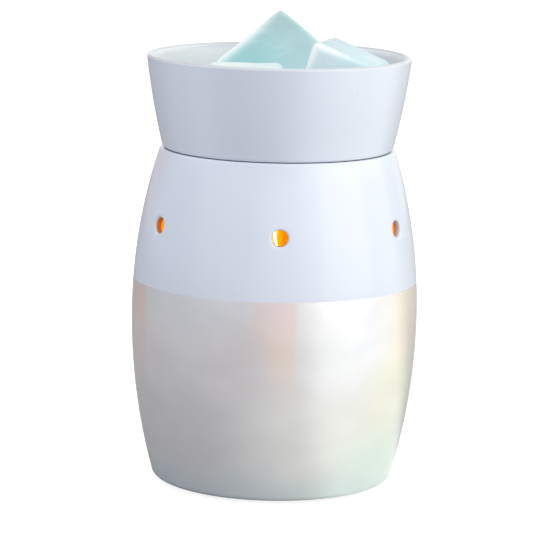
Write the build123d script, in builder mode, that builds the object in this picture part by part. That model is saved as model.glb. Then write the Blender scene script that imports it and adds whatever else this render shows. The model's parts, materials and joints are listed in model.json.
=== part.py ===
"""Wax melt warmer: a pierced ceramic body on a steel base, a lift-off dish of wax, and a twist-lock lamp.

Millimetres, +Z up. The origin is on the axis of the body, in the plane that the rubber feet stand on.
The front of the warmer, with a light hole in the middle, faces -Y, and the cord inlet faces +Y.
"""
import os
from math import cos, radians, sin, sqrt, tan

from build123d import *

os.makedirs("parts", exist_ok=True)

# Ceramic body, with heights counted from its own foot
body_height = 132.2
belly_radius = 57.0
belly_height = 66.0
foot_radius = 47.75
rim_radius = 46.5
body_wall = 3.2
rim_wall = 5.0
foot_round = 2.5
rim_round = 1.2
light_hole_count = 6
light_hole_radius = 3.2
light_hole_height = 104.5
light_hole_round = 0.9

# Underside of the body, where the base plate closes it
foot_gap = 1.2
foot_ring_width = 5.75
recess_depth = 4.0
ledge_width = 6.0
ledge_thickness = 4.5

# Wax dish
dish_height = 37.4
dish_foot_radius = 45.6
dish_rim_radius = 52.4
dish_bulge = 0.6
dish_lip = 3.6
lip_round = 1.7
dish_floor = 4.0
dish_floor_round = 5.0
dish_foot_round = 1.2
dish_foot_hollow = 5.8
spigot_drop = 4.0
spigot_wall = 4.5
spigot_clearance = 0.5

# Wax blocks: each has its length, width and thickness, its middle above the dish floor, and its turn
wax_round = 3.0
wax_draft = 4.0
wax_clearance = 0.3
back_size = (42.0, 35.0, 22.0)
back_place = (-1.5, 23.0, 17.6)
back_turn = (51.3, -1.5, -135.6)
front_size = (33.0, 29.0, 24.1)
front_place = (-13.4, -15.0, 12.35)
front_turn = (0.0, 0.0, 0.0)
right_size = (30.0, 34.3, 27.5)
right_place = (24.8, -6.1, 16.3)
right_turn = (139.2, 66.0, -137.9)

# Steel base plate and its rubber feet
plate_thickness = 1.2
plate_clearance = 0.6
vent_count = 5
vent_length = 18.0
vent_width = 2.6
vent_pitch = 5.2
pad_count = 3
pad_radius = 5.0
pad_chamfer = 0.8
pad_edge_margin = 1.4

# Clips that clamp the plate against the ledge
clip_angles = (45.0, 135.0, 270.0)
clip_width = 9.0
clip_sheet = 1.2
clip_reach = 4.0
clip_heel_inset = 9.0
clip_screw_inset = 4.0

# Screws and nuts
screw_clearance = 0.15
base_screw_radius = 1.75
base_head_radius = 3.2
base_head_height = 2.2
base_nut_radius = 3.6
base_nut_height = 2.6
small_screw_radius = 1.5
small_head_radius = 2.8
small_head_height = 2.0
small_nut_radius = 3.2
small_nut_height = 2.4
screw_tip = 0.8
drive_length = 3.4
drive_width = 0.7
drive_depth = 0.9

# Bracket that carries the lamp holder
bracket_sheet = 1.2
bracket_height = 20.8
bracket_span = 36.0
bracket_width = 26.0
bracket_flange = 10.0
bracket_bend = 1.6
bracket_screw_inset = 4.5
bracket_window_length = 7.0
bracket_window_width = 3.4

# Twist-lock lamp holder
socket_radius = 14.5
socket_base_thickness = 4.0
socket_height = 14.0
socket_roof = 4.0
socket_cavity_length = 20.4
socket_cavity_width = 10.6
socket_cavity_round = 2.0
socket_edge_round = 0.8
socket_screw_offset = 9.4
socket_counterbore_depth = 2.8
twist_angle = 30.0
contact_sheet = 0.5
contact_width = 4.4
contact_inner_x = 2.8
contact_leg_x = 8.65
contact_slot_clearance = 0.35
contact_gap = 0.3
barrel_radius = 1.7
barrel_length = 4.0
barrel_cap = 0.5
barrel_drop = 1.3

# Lamp
lamp_seat_gap = 0.2
pin_spacing = 10.0
pin_radius = 1.45
pin_head_radius = 2.4
pin_head_height = 2.4
pin_head_gap = 0.4
pin_embed = 4.0
pin_clearance = 0.2
lamp_base_radius = 13.0
lamp_base_height = 20.0
lamp_base_waist = 6.0
lamp_base_flare = 6.0
lamp_cup_wall = 1.15
lamp_cup_depth = 5.0
lamp_base_chamfer = 1.0
glass_clearance = 0.15
envelope_radius = 14.5
envelope_wall = 0.9
envelope_height = 60.8
capsule_radius = 5.5
capsule_wall = 0.8
capsule_height = 53.0
capsule_socket_depth = 1.0
filament_radius = 0.45
filament_length = 20.0
filament_height = 36.8
filament_tilt = 11.0
support_wire_radius = 0.4
support_wire_inset = 1.3
support_wire_bend = 0.7
support_wire_gap = 0.2

# Terminal block and the two inner leads
terminal_length = 20.0
terminal_depth = 12.0
terminal_height = 11.0
terminal_edge_margin = 10.4
terminal_pitch = 10.0
terminal_axis_height = 6.0
terminal_edge_round = 0.8
insert_radius = 2.2
insert_bore_radius = 1.35
insert_clearance = 0.1
insert_end_gap = 0.8
grub_screw_radius = 1.1
grub_screw_length = 3.0
grub_screw_offset = 3.6
grub_slot_width = 0.5
grub_slot_depth = 0.7
grub_access_clearance = 0.6
lead_radius = 1.1
lead_clearance = 0.1
lead_insertion = 4.5
lead_run_in = 4.0
lead_start_gap = 0.2
bend_share = 0.45

# Cord inlet in the back wall
cord_height = 16.8
cord_bore_radius = 3.2
grommet_wall = 1.4
grommet_clearance = 0.1
grommet_outer_flange_radius = 6.6
grommet_outer_flange = 1.8
grommet_inner_flange_radius = 6.2
grommet_inner_flange = 1.5
grommet_edge_round = 0.5
spotface_clearance = 0.4
spotface_depth = 0.3
cord_boss_length = 6.6
cord_boss_rim = 1.9

# Levels above the table
body_bottom = foot_gap
body_top = body_bottom + body_height
belly_z = body_bottom + belly_height
ledge_bottom = body_bottom + recess_depth
ledge_top = ledge_bottom + ledge_thickness
plate_top = ledge_bottom
plate_bottom = plate_top - plate_thickness
platform_top = plate_top + bracket_height
platform_bottom = platform_top - bracket_sheet
socket_bottom = platform_top + socket_base_thickness
socket_top = socket_bottom + socket_height
socket_ceiling = socket_top - socket_roof
lamp_bottom = socket_top + lamp_seat_gap
lamp_top = lamp_bottom + lamp_base_height
lamp_cup_floor = lamp_top - lamp_cup_depth
pin_head_top = socket_ceiling - pin_head_gap
pin_head_bottom = pin_head_top - pin_head_height
contact_top = pin_head_bottom - contact_gap
barrel_top = platform_bottom - barrel_drop
barrel_bottom = barrel_top - barrel_length
lead_z = plate_top + terminal_axis_height
dish_underside = body_top + dish_foot_hollow
dish_floor_top = dish_underside + dish_floor
dish_top = body_top + dish_height
cord_z = body_bottom + cord_height

# Radii and places that follow from the driving dimensions
recess_radius = foot_radius - foot_ring_width
ledge_radius = recess_radius - ledge_width
rim_opening_radius = rim_radius - rim_wall
spigot_radius = rim_opening_radius - spigot_clearance
spigot_bore_radius = spigot_radius - spigot_wall
plate_radius = recess_radius - plate_clearance
pad_circle_radius = plate_radius - pad_edge_margin - pad_radius
clip_screw_radius = ledge_radius - clip_screw_inset
clip_heel_radius = ledge_radius - clip_heel_inset
clip_tip_radius = ledge_radius + clip_reach
lamp_cup_radius = envelope_radius + glass_clearance
pin_circle_radius = pin_spacing / 2
leg_outer_x = contact_leg_x + contact_sheet / 2
terminal_y = plate_radius - terminal_edge_margin - terminal_depth / 2
terminal_front_y = terminal_y - terminal_depth / 2
terminal_x = terminal_pitch / 2
grommet_neck_radius = cord_bore_radius + grommet_wall
spotface_radius = grommet_outer_flange_radius + spotface_clearance
cord_boss_radius = spotface_radius + cord_boss_rim
bracket_screw_x = bracket_span / 2 + bracket_flange - bracket_screw_inset
clip_screw_places = [
    (clip_screw_radius * cos(radians(a)), clip_screw_radius * sin(radians(a))) for a in clip_angles
]
bracket_screw_places = [(bracket_screw_x, 0), (-bracket_screw_x, 0)]
socket_screw_places = [(0, socket_screw_offset), (0, -socket_screw_offset)]
pin_places = [(pin_circle_radius, 0), (-pin_circle_radius, 0)]
grub_screw_places = [
    (side * terminal_x, terminal_y + end * grub_screw_offset) for side in (1, -1) for end in (1, -1)
]


def foot_arc_radius(radius_at_belly, radius_at_foot):
    """Radius of the arc that leaves the belly upright and ends at the foot."""
    drop = radius_at_belly - radius_at_foot
    return (belly_height**2 + drop**2) / (2 * drop)


def outer_radius(height):
    """Outside radius of the body at a height under the belly."""
    arc = foot_arc_radius(belly_radius, foot_radius)
    return belly_radius - arc + sqrt(arc**2 - (belly_height - height) ** 2)


def inner_radius(height):
    """Inside radius of the body at a height under the belly."""
    arc = foot_arc_radius(belly_radius - body_wall, foot_radius - body_wall)
    return belly_radius - body_wall - arc + sqrt(arc**2 - (belly_height - height) ** 2)


def radial_plane(angle, height):
    """Plane on the axis that faces out at an angle, with its own X axis level and its own Y axis up."""
    out = (cos(radians(angle)), sin(radians(angle)), 0)
    level = (-sin(radians(angle)), cos(radians(angle)), 0)
    return Plane(origin=(0, 0, height), x_dir=level, z_dir=out)


def save(piece, name):
    """Label a finished piece and write its file."""
    piece.part.label = name
    export_step(piece.part, f"parts/{name}.step")


spotface_y = sqrt(outer_radius(cord_height - spotface_radius) ** 2 - spotface_radius**2) - spotface_depth
boss_y = spotface_y - cord_boss_length

# Ceramic body: a turned shell with a ledge inside its foot
inner_foot_radius = inner_radius(ledge_top - body_bottom)
with BuildPart() as ceramic_body:
    with BuildSketch(Plane.XZ):
        with BuildLine():
            foot = Line((recess_radius, body_bottom), (foot_radius, body_bottom))
            TangentArc((belly_radius, belly_z), foot @ 1, tangent=(0, -1))
            TangentArc((belly_radius, belly_z), (rim_radius, body_top), tangent=(0, 1))
            rim = Line((rim_radius, body_top), (rim_opening_radius, body_top))
            inner_belly = (belly_radius - body_wall, belly_z)
            TangentArc(inner_belly, rim @ 1, tangent=(0, 1))
            TangentArc(inner_belly, (inner_foot_radius, ledge_top), tangent=(0, -1))
            Polyline(
                (inner_foot_radius, ledge_top),
                (ledge_radius, ledge_top),
                (ledge_radius, ledge_bottom),
                (recess_radius, ledge_bottom),
                foot @ 0,
            )
        make_face()
    revolve(axis=Axis.Z)
    foot_edges = ceramic_body.edges().filter_by(GeomType.CIRCLE).group_by(Axis.Z)[0]
    fillet(foot_edges.sort_by(SortBy.RADIUS)[-1], foot_round)
    rim_edges = ceramic_body.edges().filter_by(GeomType.CIRCLE).group_by(Axis.Z)[-1]
    fillet(rim_edges, rim_round)
    # Boss inside the back wall for the cord inlet, with a flat sunk in the outside for the grommet
    with BuildSketch(Plane.XZ.offset(-boss_y)):
        with Locations((0, cord_z)):
            Circle(cord_boss_radius)
    extrude(amount=-(inner_radius(cord_height) + body_wall / 2 - boss_y))
    with BuildSketch(Plane.XZ.offset(-spotface_y)):
        with Locations((0, cord_z)):
            Circle(spotface_radius)
    extrude(amount=-belly_radius, mode=Mode.SUBTRACT)
    with BuildSketch(Plane.XZ.offset(-boss_y)):
        with Locations((0, cord_z)):
            Circle(grommet_neck_radius + grommet_clearance)
    extrude(amount=-belly_radius, mode=Mode.SUBTRACT)
    # Ring of light holes, with one in the middle of the front
    for number in range(light_hole_count):
        hole_plane = radial_plane(-90 + number * 360 / light_hole_count, body_bottom + light_hole_height)
        with BuildSketch(hole_plane):
            Circle(light_hole_radius)
        extrude(amount=2 * belly_radius, mode=Mode.SUBTRACT)
        mouth = ceramic_body.edges(Select.LAST).sort_by(Axis(hole_plane.origin, hole_plane.z_dir))[-1]
        fillet(mouth, light_hole_round)
save(ceramic_body, "ceramic_body")

# Wax dish: a turned bowl with a spigot that drops into the rim of the body
dish_mid_radius = (dish_foot_radius + dish_rim_radius) / 2 + dish_bulge
dish_mid_z = body_top + dish_height / 2


def bowl_space(clearance, headroom):
    """The hollow of the dish, smaller all round by a clearance, with room above the rim."""
    inset = dish_lip + clearance
    floor = dish_floor_top + clearance
    with BuildPart() as space:
        with BuildSketch(Plane.XZ) as outline:
            with BuildLine():
                wall = ThreePointArc(
                    (dish_foot_radius - inset, body_top),
                    (dish_mid_radius - inset, dish_mid_z),
                    (dish_rim_radius - inset, dish_top),
                )
                Polyline(
                    wall @ 1,
                    (dish_rim_radius - inset, dish_top + headroom),
                    (0, dish_top + headroom),
                    (0, body_top),
                    wall @ 0,
                )
            make_face()
            with Locations((0, floor)):
                Rectangle(
                    2 * dish_rim_radius, dish_height, align=(Align.CENTER, Align.MAX), mode=Mode.SUBTRACT
                )
            floor_corner = outline.vertices().group_by(Axis.Y)[0].sort_by(Axis.X)[-1]
            fillet(floor_corner, dish_floor_round - clearance)
        revolve(axis=Axis.Z)
    return space.part


with BuildPart() as wax_dish:
    with BuildSketch(Plane.XZ):
        with BuildLine():
            Polyline(
                (0, dish_top),
                (0, dish_underside),
                (spigot_bore_radius, dish_underside),
                (spigot_bore_radius, body_top - spigot_drop),
                (spigot_radius, body_top - spigot_drop),
                (spigot_radius, body_top),
                (dish_foot_radius, body_top),
            )
            ThreePointArc(
                (dish_foot_radius, body_top), (dish_mid_radius, dish_mid_z), (dish_rim_radius, dish_top)
            )
            Line((dish_rim_radius, dish_top), (0, dish_top))
        make_face()
    revolve(axis=Axis.Z)
    dish_foot_edge = wax_dish.edges().filter_by(GeomType.CIRCLE).filter_by_position(
        Axis.Z, body_top, body_top
    )
    fillet(dish_foot_edge.sort_by(SortBy.RADIUS)[-1], dish_foot_round)
    add(bowl_space(0, 1), mode=Mode.SUBTRACT)
    lip_edges = wax_dish.edges().filter_by(GeomType.CIRCLE).group_by(Axis.Z)[-1]
    fillet(lip_edges, lip_round)
save(wax_dish, "wax_dish")

# Wax blocks: drafted blocks with soft edges, melted flat where they sit in the dish
wax_blocks = {
    "wax_melt_back": (back_size, back_place, back_turn),
    "wax_melt_front": (front_size, front_place, front_turn),
    "wax_melt_right": (right_size, right_place, right_turn),
}
wax_headroom = sum(back_size)
for name, (size, place, turn) in wax_blocks.items():
    length, width, thickness = size
    middle = Location((place[0], place[1], dish_floor_top + place[2]), turn)
    with BuildPart() as wax_block:
        with BuildSketch(Plane(middle).offset(-thickness / 2)):
            Rectangle(length, width)
        extrude(amount=thickness, taper=wax_draft)
        fillet(wax_block.edges(), wax_round)
        add(bowl_space(wax_clearance, wax_headroom), mode=Mode.INTERSECT)
    save(wax_block, name)

# Base plate: a steel disc that closes the foot of the body
with BuildPart() as base_plate:
    with BuildSketch(Plane.XY.offset(plate_bottom)):
        Circle(plate_radius)
        with GridLocations(vent_pitch, 0, vent_count, 1):
            SlotOverall(vent_length, vent_width, rotation=90, mode=Mode.SUBTRACT)
        with Locations(*clip_screw_places):
            Circle(base_screw_radius + screw_clearance, mode=Mode.SUBTRACT)
        with Locations(*bracket_screw_places, (0, terminal_y)):
            Circle(small_screw_radius + screw_clearance, mode=Mode.SUBTRACT)
    extrude(amount=plate_thickness)
save(base_plate, "base_plate")

# Rubber feet under the plate
with BuildPart() as rubber_feet:
    with BuildSketch():
        with PolarLocations(pad_circle_radius, pad_count, start_angle=90):
            Circle(pad_radius)
    extrude(amount=plate_bottom)
    chamfer(rubber_feet.edges().group_by(Axis.Z)[0], pad_chamfer)
save(rubber_feet, "rubber_feet")

# Clips: bent straps that stand on the plate and clamp over the ledge
with BuildPart() as base_clips:
    for angle in clip_angles:
        out = (cos(radians(angle)), sin(radians(angle)), 0)
        side = (sin(radians(angle)), -cos(radians(angle)), 0)
        with BuildSketch(Plane(origin=(0, 0, 0), x_dir=out, z_dir=side)):
            with BuildLine():
                Polyline(
                    (clip_heel_radius, plate_top),
                    (clip_heel_radius + clip_sheet, plate_top),
                    (clip_heel_radius + clip_sheet, ledge_top),
                    (clip_tip_radius, ledge_top),
                    (clip_tip_radius, ledge_top + clip_sheet),
                    (clip_heel_radius, ledge_top + clip_sheet),
                    close=True,
                )
            make_face()
        extrude(amount=clip_width / 2, both=True)
    with BuildSketch(Plane.XY.offset(ledge_top)):
        with Locations(*clip_screw_places):
            Circle(base_screw_radius + screw_clearance)
    extrude(amount=clip_sheet, mode=Mode.SUBTRACT)
save(base_clips, "base_clips")


def pan_screws(places, seat, length, radius, head_radius, head_height, head_up):
    """Cross-slotted screws whose heads bear on a level, with the shank on the other side of it."""
    way = 1 if head_up else -1
    with BuildPart() as screws:
        with BuildSketch(Plane.XY.offset(seat)):
            with Locations(*places):
                Circle(head_radius)
        extrude(amount=way * head_height)
        with BuildSketch(Plane.XY.offset(seat)):
            with Locations(*places):
                Circle(radius)
        extrude(amount=-way * length)
        with BuildSketch(Plane.XY.offset(seat + way * head_height)):
            with Locations(*places):
                Rectangle(drive_length, drive_width)
                Rectangle(drive_width, drive_length)
        extrude(amount=-way * drive_depth, mode=Mode.SUBTRACT)
    return screws


def hex_nuts(places, bottom, radius, height, bore_radius):
    """Plain hexagon nuts that stand on a level."""
    with BuildPart() as nuts:
        with BuildSketch(Plane.XY.offset(bottom)):
            with Locations(*places):
                RegularPolygon(radius, 6)
                Circle(bore_radius, mode=Mode.SUBTRACT)
        extrude(amount=height)
    return nuts


# Screws and nuts of the clips, with the heads under the plate
base_grip = plate_thickness + ledge_thickness + clip_sheet + base_nut_height
base_screws = pan_screws(
    clip_screw_places,
    plate_bottom,
    base_grip + screw_tip,
    base_screw_radius,
    base_head_radius,
    base_head_height,
    head_up=False,
)
save(base_screws, "base_screws")
base_nuts = hex_nuts(
    clip_screw_places,
    ledge_top + clip_sheet,
    base_nut_radius,
    base_nut_height,
    base_screw_radius + screw_clearance,
)
save(base_nuts, "base_nuts")

# Bracket: a bent strip that lifts the lamp holder off the plate
half_span = bracket_span / 2
half_flange_span = half_span + bracket_flange
with BuildPart() as socket_bracket:
    with BuildSketch(Plane.XZ):
        with BuildLine():
            Polyline(
                (-half_flange_span, plate_top),
                (-half_span + bracket_sheet, plate_top),
                (-half_span + bracket_sheet, platform_bottom),
                (half_span - bracket_sheet, platform_bottom),
                (half_span - bracket_sheet, plate_top),
                (half_flange_span, plate_top),
                (half_flange_span, plate_top + bracket_sheet),
                (half_span, plate_top + bracket_sheet),
                (half_span, platform_top),
                (-half_span, platform_top),
                (-half_span, plate_top + bracket_sheet),
                (-half_flange_span, plate_top + bracket_sheet),
                close=True,
            )
        make_face()
    extrude(amount=bracket_width / 2, both=True)
    bends = socket_bracket.edges().filter_by(Axis.Y).group_by(Axis.Z)[-1]
    fillet(bends, bracket_bend)
    with BuildSketch(Plane.XY.offset(platform_bottom)):
        with Locations(*socket_screw_places):
            Circle(small_screw_radius + screw_clearance)
        with Locations((contact_leg_x, 0), (-contact_leg_x, 0)):
            Rectangle(bracket_window_width, bracket_window_length)
    extrude(amount=bracket_sheet, mode=Mode.SUBTRACT)
    with BuildSketch(Plane.XY.offset(plate_top)):
        with Locations(*bracket_screw_places):
            Circle(small_screw_radius + screw_clearance)
    extrude(amount=bracket_sheet, mode=Mode.SUBTRACT)
save(socket_bracket, "socket_bracket")

bracket_grip = plate_thickness + bracket_sheet + small_nut_height
bracket_screws = pan_screws(
    bracket_screw_places,
    plate_bottom,
    bracket_grip + screw_tip,
    small_screw_radius,
    small_head_radius,
    small_head_height,
    head_up=False,
)
save(bracket_screws, "bracket_screws")
bracket_nuts = hex_nuts(
    bracket_screw_places,
    plate_top + bracket_sheet,
    small_nut_radius,
    small_nut_height,
    small_screw_radius + screw_clearance,
)
save(bracket_nuts, "bracket_nuts")

# Lamp holder, lower half: a porcelain disc that the contacts pass through
with BuildPart() as socket_base:
    with BuildSketch(Plane.XY.offset(platform_top)):
        Circle(socket_radius)
        with Locations(*socket_screw_places):
            Circle(small_screw_radius + screw_clearance, mode=Mode.SUBTRACT)
        with Locations((contact_leg_x, 0), (-contact_leg_x, 0)):
            Rectangle(
                contact_sheet + 2 * contact_slot_clearance,
                contact_width + 2 * contact_slot_clearance,
                mode=Mode.SUBTRACT,
            )
    extrude(amount=socket_base_thickness)
save(socket_base, "socket_base")

# Lamp holder, upper half: a porcelain cap with two keyhole slots for the pins of the lamp
with BuildPart() as socket_body:
    with BuildSketch(Plane.XY.offset(socket_bottom)):
        Circle(socket_radius)
    extrude(amount=socket_height)
    fillet(socket_body.edges().group_by(Axis.Z)[-1], socket_edge_round)
    with BuildSketch(Plane.XY.offset(socket_bottom)):
        RectangleRounded(socket_cavity_length, socket_cavity_width, socket_cavity_round)
    extrude(amount=socket_height - socket_roof, mode=Mode.SUBTRACT)
    with BuildSketch(Plane.XY.offset(socket_top)):
        with PolarLocations(pin_circle_radius, 2, start_angle=twist_angle):
            Circle(pin_head_radius + pin_clearance)
        for locked_angle in (0, 180):
            keyway = CenterArc((0, 0), pin_circle_radius, locked_angle, twist_angle, mode=Mode.PRIVATE)
            SlotArc(keyway, 2 * (pin_radius + pin_clearance))
    extrude(amount=-socket_roof, mode=Mode.SUBTRACT)
    with BuildSketch(Plane.XY.offset(socket_bottom)):
        with Locations(*socket_screw_places):
            Circle(small_screw_radius + screw_clearance)
    extrude(amount=socket_height, mode=Mode.SUBTRACT)
    with BuildSketch(Plane.XY.offset(socket_top)):
        with Locations(*socket_screw_places):
            Circle(small_head_radius + screw_clearance)
    extrude(amount=-socket_counterbore_depth, mode=Mode.SUBTRACT)
save(socket_body, "socket_body")

# Contacts: a brass leaf under each pin head, a leg through the holder and a barrel for the lead
with BuildPart() as socket_contacts:
    for side in (1, -1):
        with BuildSketch(Plane.XY.offset(contact_top)):
            with Locations((side * (contact_inner_x + leg_outer_x) / 2, 0)):
                Rectangle(leg_outer_x - contact_inner_x, contact_width)
        extrude(amount=-contact_sheet)
        with BuildSketch(Plane.XY.offset(contact_top)):
            with Locations((side * contact_leg_x, 0)):
                Rectangle(contact_sheet, contact_width)
        extrude(amount=barrel_top - contact_top)
        with BuildSketch(Plane.XY.offset(barrel_top)):
            with Locations((side * contact_leg_x, 0)):
                Circle(barrel_radius)
        extrude(amount=-barrel_length)
        with BuildSketch(Plane.XY.offset(barrel_bottom)):
            with Locations((side * contact_leg_x, 0)):
                Circle(lead_radius + lead_clearance)
        extrude(amount=barrel_length - barrel_cap, mode=Mode.SUBTRACT)
save(socket_contacts, "socket_contacts")

socket_head_seat = socket_top - socket_counterbore_depth
socket_screws = pan_screws(
    socket_screw_places,
    socket_head_seat,
    socket_head_seat - platform_bottom + small_nut_height + screw_tip,
    small_screw_radius,
    small_head_radius,
    small_head_height,
    head_up=True,
)
save(socket_screws, "socket_screws")
socket_nuts = hex_nuts(
    socket_screw_places,
    platform_bottom - small_nut_height,
    small_nut_radius,
    small_nut_height,
    small_screw_radius + screw_clearance,
)
save(socket_nuts, "socket_nuts")

# Lamp base: a porcelain cup that holds the glass
lamp_cup_outer_radius = lamp_cup_radius + lamp_cup_wall
with BuildPart() as bulb_base:
    with BuildSketch(Plane.XZ):
        with BuildLine():
            Polyline(
                (0, lamp_bottom),
                (lamp_base_radius, lamp_bottom),
                (lamp_base_radius, lamp_bottom + lamp_base_waist),
                (lamp_cup_outer_radius, lamp_bottom + lamp_base_waist + lamp_base_flare),
                (lamp_cup_outer_radius, lamp_top),
                (lamp_cup_radius, lamp_top),
                (lamp_cup_radius, lamp_cup_floor),
                (0, lamp_cup_floor),
                close=True,
            )
        make_face()
    revolve(axis=Axis.Z)
    chamfer(bulb_base.edges().group_by(Axis.Z)[0], lamp_base_chamfer)
    with BuildSketch(Plane.XY.offset(lamp_cup_floor)):
        Circle(capsule_radius + glass_clearance)
    extrude(amount=-capsule_socket_depth, mode=Mode.SUBTRACT)
    with BuildSketch(Plane.XY.offset(lamp_bottom)):
        with Locations(*pin_places):
            Circle(pin_radius + glass_clearance)
    extrude(amount=pin_embed, mode=Mode.SUBTRACT)
save(bulb_base, "bulb_base")

# Lamp pins: a headed pin on each side, hanging in its keyhole slot
with BuildPart() as bulb_pins:
    with BuildSketch(Plane.XY.offset(pin_head_top)):
        with Locations(*pin_places):
            Circle(pin_radius)
    extrude(amount=lamp_bottom + pin_embed - pin_head_top)
    with BuildSketch(Plane.XY.offset(pin_head_bottom)):
        with Locations(*pin_places):
            Circle(pin_head_radius)
    extrude(amount=pin_head_height)
save(bulb_pins, "bulb_pins")


def glass_tube(bottom, radius, wall, height):
    """A straight glass tube with a domed top, open underneath."""
    spring = bottom + height - radius
    inner = radius - wall
    with BuildPart() as tube:
        with BuildSketch(Plane.XZ):
            with BuildLine():
                Line((inner, bottom), (radius, bottom))
                Line((radius, bottom), (radius, spring))
                CenterArc((0, spring), radius, 0, 90)
                Line((0, spring + radius), (0, spring + inner))
                CenterArc((0, spring), inner, 0, 90)
                Line((inner, spring), (inner, bottom))
            make_face()
        revolve(axis=Axis.Z)
    return tube


# Lamp glass: the clear envelope and the quartz capsule inside it
bulb_envelope = glass_tube(lamp_cup_floor, envelope_radius, envelope_wall, envelope_height)
save(bulb_envelope, "bulb_envelope")
capsule_bottom = lamp_cup_floor - capsule_socket_depth
bulb_capsule = glass_tube(capsule_bottom, capsule_radius, capsule_wall, capsule_height)
save(bulb_capsule, "bulb_capsule")

# Filament: a straight coil, drawn as a rod, that leans a little
filament_z = lamp_cup_floor + filament_height
filament_way = (-sin(radians(filament_tilt)), 0, cos(radians(filament_tilt)))
with BuildPart() as bulb_filament:
    with BuildSketch(Plane(origin=(0, 0, filament_z), z_dir=filament_way)):
        Circle(filament_radius)
    extrude(amount=filament_length / 2, both=True)
save(bulb_filament, "bulb_filament")

# Support wires: one straight up to the low end of the filament, one bent over its high end
filament_lean = filament_length / 2 * sin(radians(filament_tilt))
filament_tip = filament_radius * sin(radians(filament_tilt))
filament_rise = filament_length / 2 * cos(radians(filament_tilt)) + filament_tip
low_wire_top = filament_z - filament_rise - support_wire_gap
high_wire_x = -(capsule_radius - capsule_wall - support_wire_inset)
high_wire_z = filament_z + filament_rise + support_wire_gap + support_wire_radius
with BuildPart() as bulb_support_wires:
    with BuildSketch(Plane.XY.offset(capsule_bottom)):
        with Locations((filament_lean, 0)):
            Circle(support_wire_radius)
    extrude(amount=low_wire_top - capsule_bottom)
    with BuildLine() as high_wire:
        FilletPolyline(
            (high_wire_x, 0, capsule_bottom),
            (high_wire_x, 0, high_wire_z),
            (-filament_lean + support_wire_bend, 0, high_wire_z),
            radius=support_wire_bend,
        )
    with BuildSketch(Plane(origin=high_wire.line @ 0, z_dir=high_wire.line % 0)):
        Circle(support_wire_radius)
    sweep()
save(bulb_support_wires, "bulb_support_wires")

# Terminal block: a moulded block on the plate, with two brass inserts
terminal_top = plate_top + terminal_height
insert_length = terminal_depth - 2 * insert_end_gap
insert_front_y = terminal_front_y + insert_end_gap
terminal_places = [(terminal_x, lead_z), (-terminal_x, lead_z)]
with BuildPart() as terminal_block:
    with BuildSketch(Plane.XY.offset(plate_top)):
        with Locations((0, terminal_y)):
            Rectangle(terminal_length, terminal_depth)
    extrude(amount=terminal_height)
    fillet(terminal_block.edges().filter_by(Axis.Z), terminal_edge_round)
    fillet(terminal_block.edges().group_by(Axis.Z)[-1], terminal_edge_round)
    with BuildSketch(Plane.XZ.offset(-terminal_front_y)):
        with Locations(*terminal_places):
            Circle(insert_radius + insert_clearance)
    extrude(amount=-terminal_depth, mode=Mode.SUBTRACT)
    with BuildSketch(Plane.XY.offset(terminal_top)):
        with Locations(*grub_screw_places):
            Circle(grub_screw_radius + grub_access_clearance)
    extrude(amount=-(terminal_top - lead_z), mode=Mode.SUBTRACT)
    with BuildSketch(Plane.XY.offset(terminal_top)):
        with Locations((0, terminal_y)):
            Circle(small_screw_radius + screw_clearance)
    extrude(amount=-terminal_height, mode=Mode.SUBTRACT)
save(terminal_block, "terminal_block")

with BuildPart() as terminal_inserts:
    with BuildSketch(Plane.XZ.offset(-insert_front_y)):
        with Locations(*terminal_places):
            Circle(insert_radius)
            Circle(insert_bore_radius, mode=Mode.SUBTRACT)
    extrude(amount=-insert_length)
    with BuildSketch(Plane.XY.offset(lead_z)):
        with Locations(*grub_screw_places):
            Circle(grub_screw_radius + screw_clearance)
    extrude(amount=insert_radius, mode=Mode.SUBTRACT)
save(terminal_inserts, "terminal_inserts")

grub_screw_bottom = lead_z + lead_radius + lead_clearance
with BuildPart() as terminal_screws:
    with BuildSketch(Plane.XY.offset(grub_screw_bottom)):
        with Locations(*grub_screw_places):
            Circle(grub_screw_radius)
    extrude(amount=grub_screw_length)
    with BuildSketch(Plane.XY.offset(grub_screw_bottom + grub_screw_length)):
        with Locations(*grub_screw_places):
            Rectangle(grub_slot_width, 2 * grub_screw_radius)
    extrude(amount=-grub_slot_depth, mode=Mode.SUBTRACT)
save(terminal_screws, "terminal_screws")

terminal_block_screw = pan_screws(
    [(0, terminal_y)],
    terminal_top,
    terminal_height + plate_thickness + small_nut_height,
    small_screw_radius,
    small_head_radius,
    small_head_height,
    head_up=True,
)
save(terminal_block_screw, "terminal_block_screw")
terminal_block_nut = hex_nuts(
    [(0, terminal_y)],
    plate_bottom - small_nut_height,
    small_nut_radius,
    small_nut_height,
    small_screw_radius + screw_clearance,
)
save(terminal_block_nut, "terminal_block_nut")

# Inner leads: sleeved wires from the barrels of the contacts into the front of the terminal block
lead_top = barrel_top - barrel_cap - lead_start_gap
for name, side in (("lead_live", 1), ("lead_neutral", -1)):
    route = [
        Vector(side * contact_leg_x, 0, lead_top),
        Vector(side * contact_leg_x, 0, lead_z),
        Vector(side * terminal_x, terminal_front_y - lead_run_in, lead_z),
        Vector(side * terminal_x, insert_front_y + lead_insertion, lead_z),
    ]
    bends = []
    for before, corner, after in zip(route, route[1:], route[2:]):
        run = min((corner - before).length, (after - corner).length)
        half_turn = radians((corner - before).get_angle(after - corner)) / 2
        bends.append(bend_share * run / tan(half_turn))
    print(name, "bend radii", [round(bend, 1) for bend in bends])
    with BuildPart() as lead:
        with BuildLine() as wire:
            FilletPolyline(*route, radius=bends)
        with BuildSketch(Plane(origin=wire.line @ 0, z_dir=wire.line % 0)):
            Circle(lead_radius)
        sweep()
    save(lead, name)

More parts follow.
